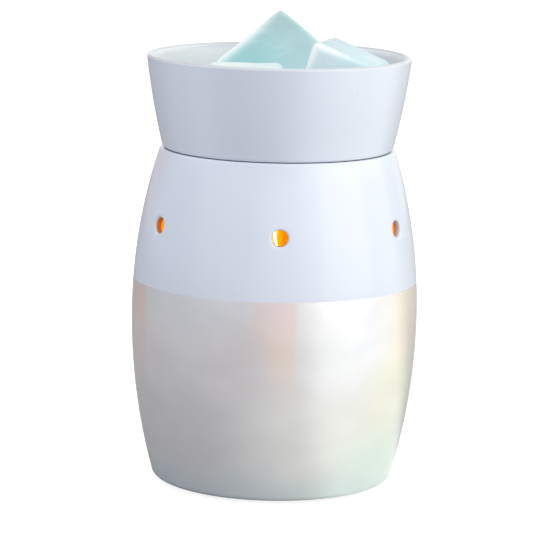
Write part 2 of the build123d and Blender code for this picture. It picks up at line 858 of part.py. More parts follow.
# Grommet: a flanged rubber bush in the back wall, where the supply cord comes in
with BuildPart() as cord_grommet:
    flange_outside = spotface_y + grommet_outer_flange
    flange_inside = boss_y - grommet_inner_flange
    with BuildSketch(Plane.XZ.offset(-spotface_y)):
        with Locations((0, cord_z)):
            Circle(grommet_outer_flange_radius)
    extrude(amount=-grommet_outer_flange)
    fillet(cord_grommet.edges().sort_by(Axis.Y)[-1], grommet_edge_round)
    with BuildSketch(Plane.XZ.offset(-flange_inside)):
        with Locations((0, cord_z)):
            Circle(grommet_inner_flange_radius)
    extrude(amount=-grommet_inner_flange)
    with BuildSketch(Plane.XZ.offset(-boss_y)):
        with Locations((0, cord_z)):
            Circle(grommet_neck_radius)
    extrude(amount=-cord_boss_length)
    with BuildSketch(Plane.XZ.offset(-flange_inside)):
        with Locations((0, cord_z)):
            Circle(cord_bore_radius)
    extrude(amount=-(flange_outside - flange_inside), mode=Mode.SUBTRACT)
save(cord_grommet, "cord_grommet")
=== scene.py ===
"""Looks of the wax melt warmer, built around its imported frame.

Metres, +Z up, in the frame's own axes: the front faces -Y and the cord inlet faces +Y.
Sizes are written in millimetres and turned into metres by MM. The reach of a weld, the depth of a bump and
the scattering in the wax are in metres.
"""
import json
from math import cos, exp, hypot, pi, radians, sin, sqrt, tan

import bmesh
import bpy
from mathutils import Euler, Matrix, Vector, noise


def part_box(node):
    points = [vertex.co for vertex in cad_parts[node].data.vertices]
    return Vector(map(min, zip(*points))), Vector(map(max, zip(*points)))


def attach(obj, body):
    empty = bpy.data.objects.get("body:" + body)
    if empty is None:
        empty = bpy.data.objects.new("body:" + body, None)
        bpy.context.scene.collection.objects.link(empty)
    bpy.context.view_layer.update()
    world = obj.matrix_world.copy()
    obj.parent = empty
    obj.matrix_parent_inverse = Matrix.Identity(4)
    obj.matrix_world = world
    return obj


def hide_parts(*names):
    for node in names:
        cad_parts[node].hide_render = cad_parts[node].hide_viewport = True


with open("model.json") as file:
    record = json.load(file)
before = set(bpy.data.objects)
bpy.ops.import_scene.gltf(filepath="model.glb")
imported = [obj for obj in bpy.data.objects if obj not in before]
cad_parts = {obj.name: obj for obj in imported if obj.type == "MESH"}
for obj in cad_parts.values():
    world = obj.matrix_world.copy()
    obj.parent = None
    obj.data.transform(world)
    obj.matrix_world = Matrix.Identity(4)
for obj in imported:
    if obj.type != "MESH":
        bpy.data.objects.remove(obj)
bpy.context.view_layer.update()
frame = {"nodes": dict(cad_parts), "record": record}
nodes = frame["nodes"]

MM = 0.001
FULL_TURN = 360.0
HALF_TURN = 180.0
QUARTER_TURN = 90.0

# Camera: where it stands, how it is turned, and its lens, sensor and nearest sight
CAMERA_PLACE = (-35.2, -1119.4, 286.5)
CAMERA_TURN = (79.787, -1.157, -1.447)
CAMERA_LENS = 191.44
CAMERA_SENSOR = 36.0
CAMERA_NEAR = 10.0

# Ceramic body
BODY_FOOT_RADIUS = 47.75
BODY_RIM_RADIUS = 46.5
BODY_BELLY_Z = 67.2
BODY_WALL = 3.2
BODY_RIM_WALL = 5.0
FOOT_ROUND = 2.5
RIM_ROUND = 1.2
FOOT_RING_WIDTH = 5.75
RECESS_DEPTH = 4.0
LEDGE_WIDTH = 6.0
LEDGE_THICKNESS = 4.5
LEDGE_ROUND = 0.5
GLAZE_LINE_Z = 81.5
LIGHT_HOLES = 6
LIGHT_HOLE_Z = 105.7
LIGHT_HOLE_RADIUS = 3.2
LIGHT_HOLE_ROUND = 0.9
LIGHT_HOLE_CELLS = 8
FIRST_HOLE_ANGLE = -90.0

# Walls of the light holes, with painted lamplight: how far from their level they reach, the span that gives
# the wall's lean, the stretch of X over which daylight gets in, the depth where the painted tint starts and
# those where it is full by lamplight and by daylight, and the depths over which the painted glow takes over,
# less the wall's thickness
HOLE_LEVEL = (3.5, 4.2)
HOLE_LEAN_SPAN = 4.0
HOLE_DAYLIGHT = (20.0, 40.0)
HOLE_TINT_START = 0.5
HOLE_TINT_FULL = (1.3, 2.4)
HOLE_DULLED = (-0.6, -0.1)

# Cord inlet in the back wall of the body
INLET_Z = 18.0
INLET_ANGLE = 90.0
INLET_CELLS = 16
SPOTFACE_RADIUS = 7.0
SPOTFACE_Y = 49.54
SPOTFACE_ROUND = 0.3
BOSS_RADIUS = 8.9
BOSS_Y = 42.94
INLET_HOLE_RADIUS = 4.7

# Wax dish
DISH_FOOT_RADIUS = 45.6
DISH_MID_RADIUS = 49.6
DISH_RIM_RADIUS = 52.4
DISH_LIP = 3.6
LIP_BEVEL = 1.2
LIP_CREST = 2.2
LIP_RISE = 0.35
LIP_ROUND = 1.2
LIP_CREASE = 0.3
BOWL_FLARE = 14.0
DISH_FLOOR = 4.0
DISH_FLOOR_ROUND = 5.0
DISH_FOOT_ROUND = 2.0
DISH_HOLLOW = 5.8
SPIGOT_RADIUS = 41.0
SPIGOT_BORE = 36.5
SPIGOT_ROUND = 0.6

# Painted shade in the seam under the dish: its radius, and how far it reaches across and up or down
SEAM_RADIUS = 44.5
SEAM_BESIDE = (0.35, 0.8)
SEAM_LEVEL = (0.12, 0.5)

# Painted light and shade on the white glaze: stretches of X, heights over the body's top or the dish's, and,
# for the bowl's edge, distances from the middle of its wall, where they change
BODY_TO_DISH = (-0.2, 0.2)
BOWL_START = (4.0, 6.0)
BOWL_EDGE = (-1.0, 1.0)
BOWL_LEFT = (-46.0, -24.0)
BOWL_RIGHT = (-20.0, 40.0)
BRIM_ACROSS = (-40.0, 40.0)
BRIM_START = (-3.6, -1.4)
LIP_START = (-LIP_BEVEL - 0.1, -LIP_BEVEL + 0.3)

# Glasses of the lamp: name, node, slot, wall, tint and haze
LAMP_GLASSES = (
    ("lamp_envelope", "bulb_envelope", "lamp_glass", 0.9, (0.97, 0.97, 0.96), 0.05),
    ("quartz_capsule", "bulb_capsule", "quartz_glass", 0.8, (0.98, 0.97, 0.95), 0.03),
)

# Filament, and the threads of the leads' sleeves
FILAMENT_RADIUS = 0.45
FILAMENT_WIRE = 0.11
FILAMENT_LENGTH = 19.8
FILAMENT_TURNS = 22.0
FILAMENT_TILT = 11.0
FILAMENT_Z = 96.0
COIL_COOLING = (6.0, 10.5)
THREAD_PITCH = 0.9

# Painted glow in the chamber, standing for the lamp's light: how far under the filament's middle it is
# strongest, how it fades from there, how uneven that is, and the brighter spots
GLOW_DROP = 10.0
GLOW_REACH = (12.0, 62.0)
GLOW_WAVER = 14.0
GLOW_SPOT_Z = 88.0
GLOW_SPOT_SQUASH = 0.4
GLOW_SPOT_HEART = (1.0, 4.0)
GLOW_SPOT_EDGE = (4.0, 12.0)

# Wax blocks: each one's spot, its length, width and thickness, its middle above the dish's floor, its turn,
# and its painted light: how pale its upright faces, its upper faces and its edges are painted
WAX_BLOCKS = (
    ("back", (42.0, 35.0, 22.0), (-1.5, 23.0, 17.6), (51.3, -1.5, -135.6), (0.0, 0.0, 1.7)),
    ("front", (33.0, 29.0, 24.1), (-13.4, -15.0, 12.35), (0.0, 0.0, 0.0), (0.42, 0.58, 0.73)),
    ("right", (30.0, 34.3, 27.5), (24.8, -6.1, 16.3), (139.2, 66.0, -137.9), (0.47, 0.0, 1.3)),
)
WAX_CELLS = 32
WAX_ROUND = 3.0
WAX_DRAFT = 4.0
WAX_CLEARANCE = 0.3
WAX_EDGE_SHARE = 0.3
# Painted light on the wax: fade from the edges, reach from the left, share on the right, loss on upper faces
WAX_EDGE_FADE = 3.8
WAX_LEFT_REACH = 17.0
WAX_RIGHT_PALE = 0.35
WAX_UPPER_LOSS = 0.5
# Painted light and shade in the wax's colour: stretches of X where it changes, and a rise for its change with
# height
WAX_ACROSS = (-16.0, 16.0)
WAX_THIN = (11.0, 22.0)
WAX_DEEP = 14.0
WAX_SWELL = 0.45
WAX_SWELL_SIZE = 9.0
WAX_GRAIN = 0.05
WAX_GRAIN_SIZE = 1.6
WAX_SINK = 0.4

# Bands of the two glazes, painted light and shade on the white one, and tints, painted reflections and
# painted shade on the lustre: from one angle right of the front to another, softness of those two edges,
# lowest and highest point, tint and strength
WHITE_PAINTED_LIGHT_AND_SHADE = (
    (-62.0, -34.0, 10.0, 8.0, 130.0, 190.0, (0.84, 0.89, 0.98), 0.9),
    (-27.0, 5.0, 10.0, 12.0, 130.0, 190.0, (0.715, 0.76, 0.855), 0.9),
    (16.0, 62.0, 10.0, 10.0, 130.0, 190.0, (0.83, 0.875, 0.965), 0.9),
    (-32.0, -8.0, 10.0, 10.0, 100.0, 128.0, (0.73, 0.775, 0.865), 0.7),
    (46.0, 90.0, 10.0, 10.0, 100.0, 128.0, (0.735, 0.785, 0.875), 0.6),
)
LUSTRE_TINTS_AND_PAINTED_LIGHT = (
    (-112.0, -63.5, 10.0, 2.0, 46.0, 100.0, (0.94, 0.73, 0.65), 0.85),
    (-78.0, -48.0, 12.0, 12.0, 44.0, 68.0, (0.88, 0.78, 0.75), 0.55),
    (-104.0, -14.0, 18.0, 18.0, 10.0, 44.0, (0.76, 0.735, 0.71), 0.8),
    (-6.0, 46.0, 20.0, 20.0, 8.0, 48.0, (0.88, 0.875, 0.82), 0.75),
    (16.0, 48.0, 10.0, 10.0, 50.0, 72.0, (0.92, 0.935, 0.95), 0.7),
    (-9.5, 6.7, 1.6, 1.6, 74.0, 100.0, (0.91, 0.74, 0.73), 0.8),
    (-13.0, 6.7, 9.0, 1.6, 56.0, 80.0, (0.93, 0.77, 0.73), 0.7),
    (-4.0, 6.7, 5.0, 1.6, 50.0, 72.0, (0.97, 0.81, 0.69), 0.6),
    (-32.0, -4.0, 12.0, 10.0, 42.0, 68.0, (0.89, 0.79, 0.78), 0.5),
    (44.0, 125.0, 2.5, 10.0, 40.0, 100.0, (0.94, 0.90, 0.83), 0.6),
    (51.0, 125.0, 2.5, 10.0, 44.0, 100.0, (0.99, 0.88, 0.73), 0.9),
    (40.0, 125.0, 12.0, 10.0, 24.0, 52.0, (0.86, 0.87, 0.70), 0.8),
    (30.0, 110.0, 18.0, 18.0, -10.0, 27.0, (0.74, 0.88, 0.78), 0.9),
    (-100.0, 30.0, 20.0, 20.0, -10.0, 10.0, (0.67, 0.73, 0.74), 0.8),
    (4.0, 56.0, 12.0, 12.0, -10.0, 12.0, (0.75, 0.87, 0.83), 0.7),
    (128.0, 152.0, 3.0, 3.0, 52.0, 100.0, (0.91, 0.74, 0.73), 0.7),
    (-170.0, -112.0, 14.0, 14.0, -10.0, 44.0, (0.75, 0.86, 0.77), 0.7),
    (160.0, 200.0, 6.0, 6.0, 44.0, 100.0, (0.97, 0.87, 0.74), 0.7),
)
BAND_VALUES = ("Start", "End", "Start Softness", "End Softness", "Low", "High", "Tint", "Strength")
BAND_SOFTNESS = 9.0

# Studio lamps: name, place, aim, width, height, watts and colour
SOFTBOXES = (
    ("key_right", (960.0, -600.0, 180.0), (0.0, 0.0, 100.0), 900.0, 1000.0, 3.2, (1.0, 1.0, 0.96)),
    ("left_fill", (-900.0, -700.0, 600.0), (0.0, 0.0, 100.0), 900.0, 900.0, 1.2, (0.97, 0.98, 1.0)),
)

# World and floor: light on the object, white that is shown, the floor's reach from its middle, its own light
# near the object, and the distances over which that fades into the white
AMBIENT = (1.22, 1.12, 1.03)
BACKGROUND = 1.0
FLOOR_REACH = 3000.0
FLOOR_GLOW = 0.86
FLOOR_FADE = (90.0, 500.0)

# Sheen of the floor: from an angle right of the camera on, the softness of that edge, and its light
FLOOR_SHEEN = (
    (-180.0, 1.0, (0.06, 0.07, 0.09)),
    (-10.0, 22.0, (0.30, 0.29, 0.29)),
    (26.0, 16.0, (0.73, 0.74, 0.73)),
    (118.0, 16.0, (0.10, 0.11, 0.12)),
)

# Studio: its round wall, and stretches of it by name and angles right of the camera, with their light
WALL_RADIUS = 1700.0
WALL_LOW = 5.0
WALL_HIGH = 2300.0
WALL_STEP = 6.0
STUDIO_WALLS = (
    ("wall_far_left", -168.0, -127.0, (0.64, 0.56, 0.56)),
    ("wall_left", -127.0, -16.0, (0.71, 0.765, 0.86)),
    ("wall_front", -16.0, 20.0, (0.92, 0.94, 1.0)),
    ("wall_key", 20.0, 115.0, (1.48, 1.51, 1.51)),
    ("wall_right", 115.0, 138.0, (0.74, 0.75, 0.76)),
    ("wall_far_right", 138.0, 168.0, (0.93, 0.93, 0.93)),
)

# Metals of the CAD pieces: slot, name, colour, dull colour, roughness and fineness of the lines
METALS = (
    ("zinc_steel", "zinc_plated_sheet", (0.62, 0.63, 0.64), (0.50, 0.51, 0.52), 0.34, 900.0),
    ("screw_steel", "bright_screw_steel", (0.70, 0.70, 0.71), (0.52, 0.52, 0.53), 0.26, 1600.0),
    ("plated_pins", "nickel_plated_pin", (0.72, 0.70, 0.66), (0.60, 0.57, 0.52), 0.2, 1600.0),
    ("contact_brass", "stamped_brass", (0.74, 0.53, 0.22), (0.52, 0.36, 0.15), 0.32, 900.0),
    ("support_wire", "drawn_support_wire", (0.52, 0.51, 0.50), (0.36, 0.35, 0.34), 0.3, 2400.0),
)

# Fired and moulded CAD pieces: slot, name, colour, mottle, roughness, grain and bump
MOULDED = (
    ("porcelain", "pressed_porcelain", (0.82, 0.80, 0.74), (0.72, 0.69, 0.61), 0.55, 1800.0, 0.3),
    ("terminal_nylon", "terminal_nylon", (0.80, 0.79, 0.73), (0.72, 0.70, 0.63), 0.45, 900.0, 0.15),
    ("foot_rubber", "dark_foot_rubber", (0.035, 0.035, 0.038), (0.065, 0.064, 0.062), 0.78, 1500.0, 0.5),
    ("grommet_rubber", "grey_grommet_rubber", (0.56, 0.56, 0.57), (0.48, 0.48, 0.49), 0.62, 1500.0, 0.35),
)

# Sleeves of the leads: slot, name, colour of the threads and of the gaps
SLEEVES = (
    ("lead_black", "black_lead_sleeve", (0.045, 0.045, 0.05), (0.012, 0.012, 0.013)),
    ("lead_white", "white_lead_sleeve", (0.78, 0.77, 0.72), (0.46, 0.44, 0.39)),
)

# Meshes of the turned pieces, the lamp's glass and its coil
COLUMNS = 192
ROW_STEP = 1.75
CORNER_STEPS = 6
CORNER_LEAD = 0.25
WELD_REACH = 2e-6
ZONES = ("First Zone", "Second Zone", "Third Zone", "Fourth Zone")
GLASS_COLUMNS = 64
GLASS_ROW_STEP = 6.0
GLASS_END = 2.0
GLASS_LIP_SHARE = 0.3
GLASS_LIP_STEPS = 3
DOME_STEPS = 20
COIL_STEPS = 14
WIRE_SIDES = 8


def mm(*values):
    """A point or vector written in millimetres, in metres."""
    return Vector(values) * MM


def operation(kind, swapped=False):
    """A method of Wire that places a math node. If swapped, the wire is the second value."""

    def method(wire, other=0.0):
        first, second = (other, wire) if swapped else (wire, other)
        return wire.bench.math(kind, first, second)

    return method


class Wire:
    """An output of a node. Arithmetic on it places the math node that works it out."""

    __add__ = operation("ADD")
    __radd__ = operation("ADD", swapped=True)
    __sub__ = operation("SUBTRACT")
    __rsub__ = operation("SUBTRACT", swapped=True)
    __mul__ = operation("MULTIPLY")
    __rmul__ = operation("MULTIPLY", swapped=True)
    __truediv__ = operation("DIVIDE")
    __rtruediv__ = operation("DIVIDE", swapped=True)
    __mod__ = operation("FLOORED_MODULO")
    below = operation("LESS_THAN")
    above = operation("GREATER_THAN")
    floor = operation("FLOOR")
    round = operation("ROUND")
    size = operation("ABSOLUTE")
    sine = operation("SINE")
    cosine = operation("COSINE")

    def __init__(self, bench, socket):
        self.bench = bench
        self.socket = socket

    def clamped(self):
        return self.bench.math("ADD", self, 0.0, clamp=True)


class Bench:
    """Short words for building a node tree."""

    def __init__(self, tree):
        self.tree = tree

    def place(self, kind, inputs=None, **settings):
        """A new node, with its settings and with its inputs fed by number or name."""
        node = self.tree.nodes.new(kind)
        for setting, value in settings.items():
            setattr(node, setting, value)
        for key, value in (inputs or {}).items():
            self.feed(node.inputs[key], value)
        return node

    def feed(self, socket, value):
        """Link a wire to a socket, or set the socket to a plain value."""
        if isinstance(value, Wire):
            self.tree.links.new(value.socket, socket)
        else:
            socket.default_value = value

    def out(self, node, key=0):
        return Wire(self, node.outputs[key])

    def made(self, kind, inputs=None, key=0, **settings):
        """An output of a new node."""
        return self.out(self.place(kind, inputs, **settings), key)

    def math(self, kind, first, second=0.0, clamp=False):
        return self.made("ShaderNodeMath", {0: first, 1: second}, operation=kind, use_clamp=clamp)

    def blend(self, start, end, share):
        """From start to end, as share goes from 0 to 1."""
        return start + (end - start) * share

    def smaller(self, first, second):
        return self.math("MINIMUM", first, second)

    def larger(self, first, second):
        return self.math("MAXIMUM", first, second)

    def split(self, vector):
        node = self.place("ShaderNodeSeparateXYZ", {0: vector})
        return [self.out(node, axis) for axis in range(3)]

    def join(self, x, y, z):
        return self.made("ShaderNodeCombineXYZ", {0: x, 1: y, 2: z})


SOCKETS = {
    "colour": "NodeSocketColor",
    "number": "NodeSocketFloat",
    "count": "NodeSocketInt",
    "shape": "NodeSocketGeometry",
    "finish": "NodeSocketMaterial",
}


def node_group(name, kind, inputs, outputs):
    """A new node group with its bench, its given wires and a function that closes it."""
    tree = bpy.data.node_groups.new(name, kind)
    for way, sockets in (("INPUT", inputs), ("OUTPUT", outputs)):
        for socket, stuff in sockets.items():
            tree.interface.new_socket(name=socket, in_out=way, socket_type=SOCKETS[stuff])
    bench = Bench(tree)
    entry = bench.place("NodeGroupInput")
    given = {socket.name: Wire(bench, socket) for socket in entry.outputs if socket.name}
    leave = bench.place("NodeGroupOutput")

    def close(**wires):
        for socket, wire in wires.items():
            bench.feed(leave.inputs[socket], wire)
        return tree

    return bench, given, close


def in_scene(name, data):
    """A new object in the scene."""
    thing = bpy.data.objects.new(name, data)
    bpy.context.scene.collection.objects.link(thing)
    return thing


# Geometry node trees


def turned_shell_tree():
    """A profile turned about Z, pierced by a ring of light holes with rounded mouths.

    The profile is a chain of points, one for each row of faces. A square patch of faces is left out around
    each hole, on the outer and on the inner wall, and a tunnel whose two ends spread to those squares fills
    it. The inlet's two square patches are left open.
    """
    counts = ("Columns", "Rows", "Holes", "Hole Cells", "Outer Patch Row", "Inner Patch Row")
    counts += ("Inlet Column", "Inlet Cells", "Inlet Outer Row", "Inlet Inner Row")
    numbers = ("Outer Hole Row", "Inner Hole Row", "Outer Row Step", "Inner Row Step", "Hole Radius")
    numbers += ("Mouth Round", "First Angle", *(f"{zone} Row" for zone in ZONES[1:]))
    inputs = {"Profile": "shape"}
    for kind, names in (("count", counts), ("number", numbers), ("finish", ZONES)):
        inputs.update({name: kind for name in names})
    bench, given, close = node_group("turned_shell", "GeometryNodeTree", inputs, {"Shell": "shape"})
    columns, rows = given["Columns"], given["Rows"]
    holes, cells = given["Holes"], given["Hole Cells"]
    column_turn = 2 * pi / columns
    pitch = columns / holes

    def profile_at(row):
        """Radius and height of the profile at a row, also between two rows."""
        low = row.floor()
        share = row - low
        point = bench.made("GeometryNodeInputPosition")
        settings = {"data_type": "FLOAT_VECTOR", "domain": "POINT", "clamp": True}
        ends = []
        for index in (low, low + 1.0):
            inputs = {"Geometry": given["Profile"], "Value": point, "Index": index}
            ends.append(bench.split(bench.made("GeometryNodeSampleIndex", inputs, **settings)))
        radius = bench.blend(ends[0][0], ends[1][0], share)
        height = bench.blend(ends[0][2], ends[1][2], share)
        return radius, height

    def grid(across, along):
        """A flat grid of unit cells, with the wires that count its columns and rows."""
        inputs = {0: across, 1: along, 2: across + 1.0, 3: along + 1.0}
        mesh = bench.made("GeometryNodeMeshGrid", inputs)
        x, y, _ = bench.split(bench.made("GeometryNodeInputPosition"))
        return mesh, x + across / 2.0, y + along / 2.0

    def move(mesh, radius, angle, height, row):
        """Put a grid's points in place, and keep the row that each belongs to."""
        kept_row = {"Geometry": mesh, "Name": "row", "Value": row}
        mesh = bench.made("GeometryNodeStoreNamedAttribute", kept_row)
        place = bench.join(radius * angle.cosine(), radius * angle.sine(), height)
        return bench.made("GeometryNodeSetPosition", {"Geometry": mesh, "Position": place})

    def within(value, start, half_span):
        """1 over a stretch of columns or rows that starts at a given count, and 0 elsewhere."""
        return (value - given[start] - half_span).size().below(half_span)

    # Wall of the shell, with its square gaps
    wall, column, row = grid(columns, rows - 1.0)
    half = cells / 2.0
    near_hole = (column % pitch - pitch / 2.0).size().below(half)
    gap_rows = bench.larger(within(row, "Outer Patch Row", half), within(row, "Inner Patch Row", half))
    inlet_half = given["Inlet Cells"] / 2.0
    near_inlet = within(column, "Inlet Column", inlet_half)
    inlet_outer = within(row, "Inlet Outer Row", inlet_half)
    inlet_inner = within(row, "Inlet Inner Row", inlet_half)
    gap = near_hole * gap_rows + near_inlet * bench.larger(inlet_outer, inlet_inner)
    opened = bench.made("GeometryNodeDeleteGeometry", {"Geometry": wall, "Selection": gap}, domain="FACE")
    column_index, row_index = column.round(), row.round()
    radius, height = profile_at(row_index)
    angle = given["First Angle"] + (column_index - pitch / 2.0) * column_turn
    wall = move(opened, radius, angle, height, row_index)

    # One hole: rings from the outer square, over the rounded mouth, through the wall and to the inner square
    spread, arc, straight = 3.0, 4.0, 2.0
    rings = 2 * (spread + arc) + straight
    hole, n, m = grid(cells * 4.0, holes * 0.0 + rings)
    n, m = n.round(), m.round()
    side = (n / cells).floor()
    on_side = {"Vector": bench.join(n - side * cells - half, half * -1.0, 0.0), "Angle": side * (pi / 2)}
    turned = bench.made("ShaderNodeVectorRotate", on_side, rotation_type="Z_AXIS")
    square_x, square_y, _ = bench.split(turned)
    around = n / cells * (pi / 2) - 0.75 * pi
    on_circle = bench.smaller((m / spread).clamped(), ((rings - m) / spread).clamped())
    outer_arc = ((m - spread) / arc).clamped() * (pi / 2)
    inner_arc = ((rings - m - spread) / arc).clamped() * (pi / 2)
    mouth = given["Mouth Round"]
    ring_radius = given["Hole Radius"] + mouth * (2.0 - outer_arc.sine() - inner_arc.sine())
    rise = ring_radius * around.sine()
    outer_row = bench.blend(
        given["Outer Patch Row"] + half + square_y,
        given["Outer Hole Row"] + rise / given["Outer Row Step"],
        on_circle,
    )
    inner_row = bench.blend(
        given["Inner Patch Row"] + half - square_y,
        given["Inner Hole Row"] - rise / given["Inner Row Step"],
        on_circle,
    )
    outer_radius, outer_height = profile_at(outer_row)
    inner_radius, inner_height = profile_at(inner_row)
    thickness = outer_radius - inner_radius
    through = ((m - spread - arc) / straight).clamped()
    depth = mouth * (1.0 - outer_arc.cosine() + inner_arc.cosine()) + (thickness - mouth * 2.0) * through
    share = depth / thickness
    radius = bench.blend(outer_radius, inner_radius, share)
    height = bench.blend(outer_height, inner_height, share)
    sweep = bench.blend(square_x * column_turn, ring_radius * around.cosine() / radius, on_circle)
    hole_row = bench.blend(outer_row, inner_row, share.above(0.5))
    hole = move(hole, radius, given["First Angle"] + sweep, height, hole_row)
    places = bench.made("GeometryNodeMeshLine", {"Count": holes, "Offset": (0.0, 0.0, 0.0)})
    number = bench.made("GeometryNodeInputIndex")
    turn = bench.made("FunctionNodeEulerToRotation", {0: bench.join(0.0, 0.0, number * (2 * pi) / holes)})
    copies = {"Points": places, "Instance": hole, "Rotation": turn}
    copies = bench.made("GeometryNodeInstanceOnPoints", copies)

    # Weld the two together, and give each zone of rows its finish
    joined = bench.place("GeometryNodeJoinGeometry")
    for part in (wall, bench.made("GeometryNodeRealizeInstances", {"Geometry": copies})):
        bench.feed(joined.inputs[0], part)
    weld = {"Geometry": bench.out(joined), "Distance": WELD_REACH}
    shell = bench.made("GeometryNodeMergeByDistance", weld)
    for kind in ("GeometryNodeSetShadeSmooth", "GeometryNodeRealizeInstances"):
        shell = bench.made(kind, {"Geometry": shell})
    stored = bench.made("GeometryNodeInputNamedAttribute", {"Name": "row"}, data_type="FLOAT")
    for zone in ZONES:
        inputs = {"Geometry": shell, "Material": given[zone]}
        if zone != ZONES[0]:
            inputs["Selection"] = stored.above(given[f"{zone} Row"])
        shell = bench.made("GeometryNodeSetMaterial", inputs)
    return close(Shell=shell)


def coil_tree():
    """A wire wound into a straight coil along Z, with its middle at the origin."""
    numbers = ("Coil Radius", "Wire Radius", "Length", "Turns")
    inputs = {"Geometry": "shape", **{name: "number" for name in numbers}, "Finish": "finish"}
    bench, given, close = node_group("wound_coil", "GeometryNodeTree", inputs, {"Coil": "shape"})
    middle = given["Coil Radius"] - given["Wire Radius"]
    winding = {
        "Resolution": COIL_STEPS,
        "Rotations": given["Turns"],
        "Start Radius": middle,
        "End Radius": middle,
        "Height": given["Length"],
    }
    spiral = bench.made("GeometryNodeCurveSpiral", winding)
    circle = {"Resolution": WIRE_SIDES, "Radius": given["Wire Radius"]}
    section = bench.made("GeometryNodeCurvePrimitiveCircle", circle)
    sweep = {"Curve": spiral, "Profile Curve": section, "Fill Caps": True}
    coil = bench.made("GeometryNodeCurveToMesh", sweep)
    drop = bench.join(0.0, 0.0, given["Length"] * -0.5)
    coil = bench.made("GeometryNodeTransform", {"Geometry": coil, "Translation": drop})
    for kind in ("GeometryNodeSetShadeSmooth", "GeometryNodeRealizeInstances"):
        coil = bench.made(kind, {"Geometry": coil})
    coil = bench.made("GeometryNodeSetMaterial", {"Geometry": coil, "Material": given["Finish"]})
    return close(Coil=coil)


def grown(name, points, tree, values):
    """A new object from a chain of points, grown by a geometry node tree and turned into a plain mesh."""
    seed = bpy.data.meshes.new(f"{name}_profile")
    seed.from_pydata(points, [(i, i + 1) for i in range(len(points) - 1)], [])
    piece = in_scene(name, seed)
    modifier = piece.modifiers.new("grow", "NODES")
    modifier.node_group = tree
    sockets = {item.name: item.identifier for item in tree.interface.items_tree if item.in_out == "INPUT"}
    for input_name, value in values.items():
        modifier[sockets[input_name]] = value
    depsgraph = bpy.context.evaluated_depsgraph_get()
    mesh = bpy.data.meshes.new_from_object(piece.evaluated_get(depsgraph), depsgraph=depsgraph)
    piece.modifiers.clear()
    piece.data = mesh
    mesh.name = name
    bpy.data.meshes.remove(seed)
    if mesh.materials[0] is None:
        mesh.materials.pop(index=0)
    if "row" in mesh.attributes:
        mesh.attributes.remove(mesh.attributes["row"])
    return piece


def reshape(piece, work=None):
    """Run a function on a piece's bmesh, then close its seams and turn its faces outwards."""
    net = bmesh.new()
    net.from_mesh(piece.data)
    if work:
        work(net)
    bmesh.ops.remove_doubles(net, verts=net.verts, dist=WELD_REACH)
    bmesh.ops.recalc_face_normals(net, faces=net.faces)
    net.to_mesh(piece.data)
    net.free()
    piece.data.update()


# Profiles, as (radius, height) points in millimetres


def spaced(start, end, step=ROW_STEP):
    """Values from start to end, evenly spaced at about a step."""
    count = max(1, round(abs(end - start) / step))
    return [start + (end - start) * i / count for i in range(count + 1)]


def corner(before, point, after, radius, steps=CORNER_STEPS):
    """Points that round a corner of a profile, with a point a little before and after the round."""
    here = Vector(point)
    back = (Vector(before) - here).normalized()
    ahead = (Vector(after) - here).normalized()
    half_angle = back.angle(ahead) / 2
    reach = radius / tan(half_angle)
    centre = here + (back + ahead).normalized() * radius / sin(half_angle)
    first = here + back * reach - centre
    last = here + ahead * reach - centre
    lead = radius * CORNER_LEAD
    arc = [centre + first.slerp(last, i / steps) * radius for i in range(steps + 1)]
    return [tuple(p) for p in [arc[0] + back * lead] + arc + [arc[-1] + ahead * lead]]


def row_at(points, height, first, last):
    """The row, also between two rows, at which a stretch of a profile passes a height."""
    for row in range(first, last):
        low, high = sorted((points[row][1], points[row + 1][1]))
        if low <= height <= high:
            return row + (height - points[row][1]) / (points[row + 1][1] - points[row][1])
    raise ValueError(f"the profile doesn't pass {height}")


def as_chain(points):
    """Profile points as places in metres."""
    return [(r * MM, 0.0, z * MM) for r, z in points]


body_low, body_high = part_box("ceramic_body")
BODY_BOTTOM = body_low.z / MM
BODY_TOP = body_high.z / MM
BELLY_RADIUS = body_high.x / MM
RECESS_RADIUS = BODY_FOOT_RADIUS - FOOT_RING_WIDTH
LEDGE_RADIUS = RECESS_RADIUS - LEDGE_WIDTH
LEDGE_BOTTOM = BODY_BOTTOM + RECESS_DEPTH
LEDGE_TOP = LEDGE_BOTTOM + LEDGE_THICKNESS
RIM_OPENING = BODY_RIM_RADIUS - BODY_RIM_WALL


def barrel_radius(z, belly, foot, rim):
    """Radius at a height of a barrel that is upright at its belly and curves in to its foot and its rim."""
    end_radius, end_z = (foot, BODY_BOTTOM) if z < BODY_BELLY_Z else (rim, BODY_TOP)
    drop = belly - end_radius
    span = end_z - BODY_BELLY_Z
    arc = (span**2 + drop**2) / (2 * drop)
    return belly - arc + sqrt(arc**2 - (z - BODY_BELLY_Z) ** 2)


def body_outside(z):
    return barrel_radius(z, BELLY_RADIUS, BODY_FOOT_RADIUS, BODY_RIM_RADIUS)


def body_inside(z):
    return barrel_radius(z, BELLY_RADIUS - BODY_WALL, BODY_FOOT_RADIUS - BODY_WALL, RIM_OPENING)


class Profile:
    """The points of a profile, put together in order."""

    def __init__(self):
        self.points = []

    def add(self, points):
        """Add points in order, and say from which row to which row they go."""
        first = len(self.points)
        self.points += [tuple(p) for p in points]
        return first, len(self.points) - 1

    def round_off(self, chain, radius):
        """Add the rounded corners of a chain of points, and say at which row each one starts."""
        triples = zip(chain, chain[1:], chain[2:])
        return [self.add(corner(*triple, radius))[0] for triple in triples]


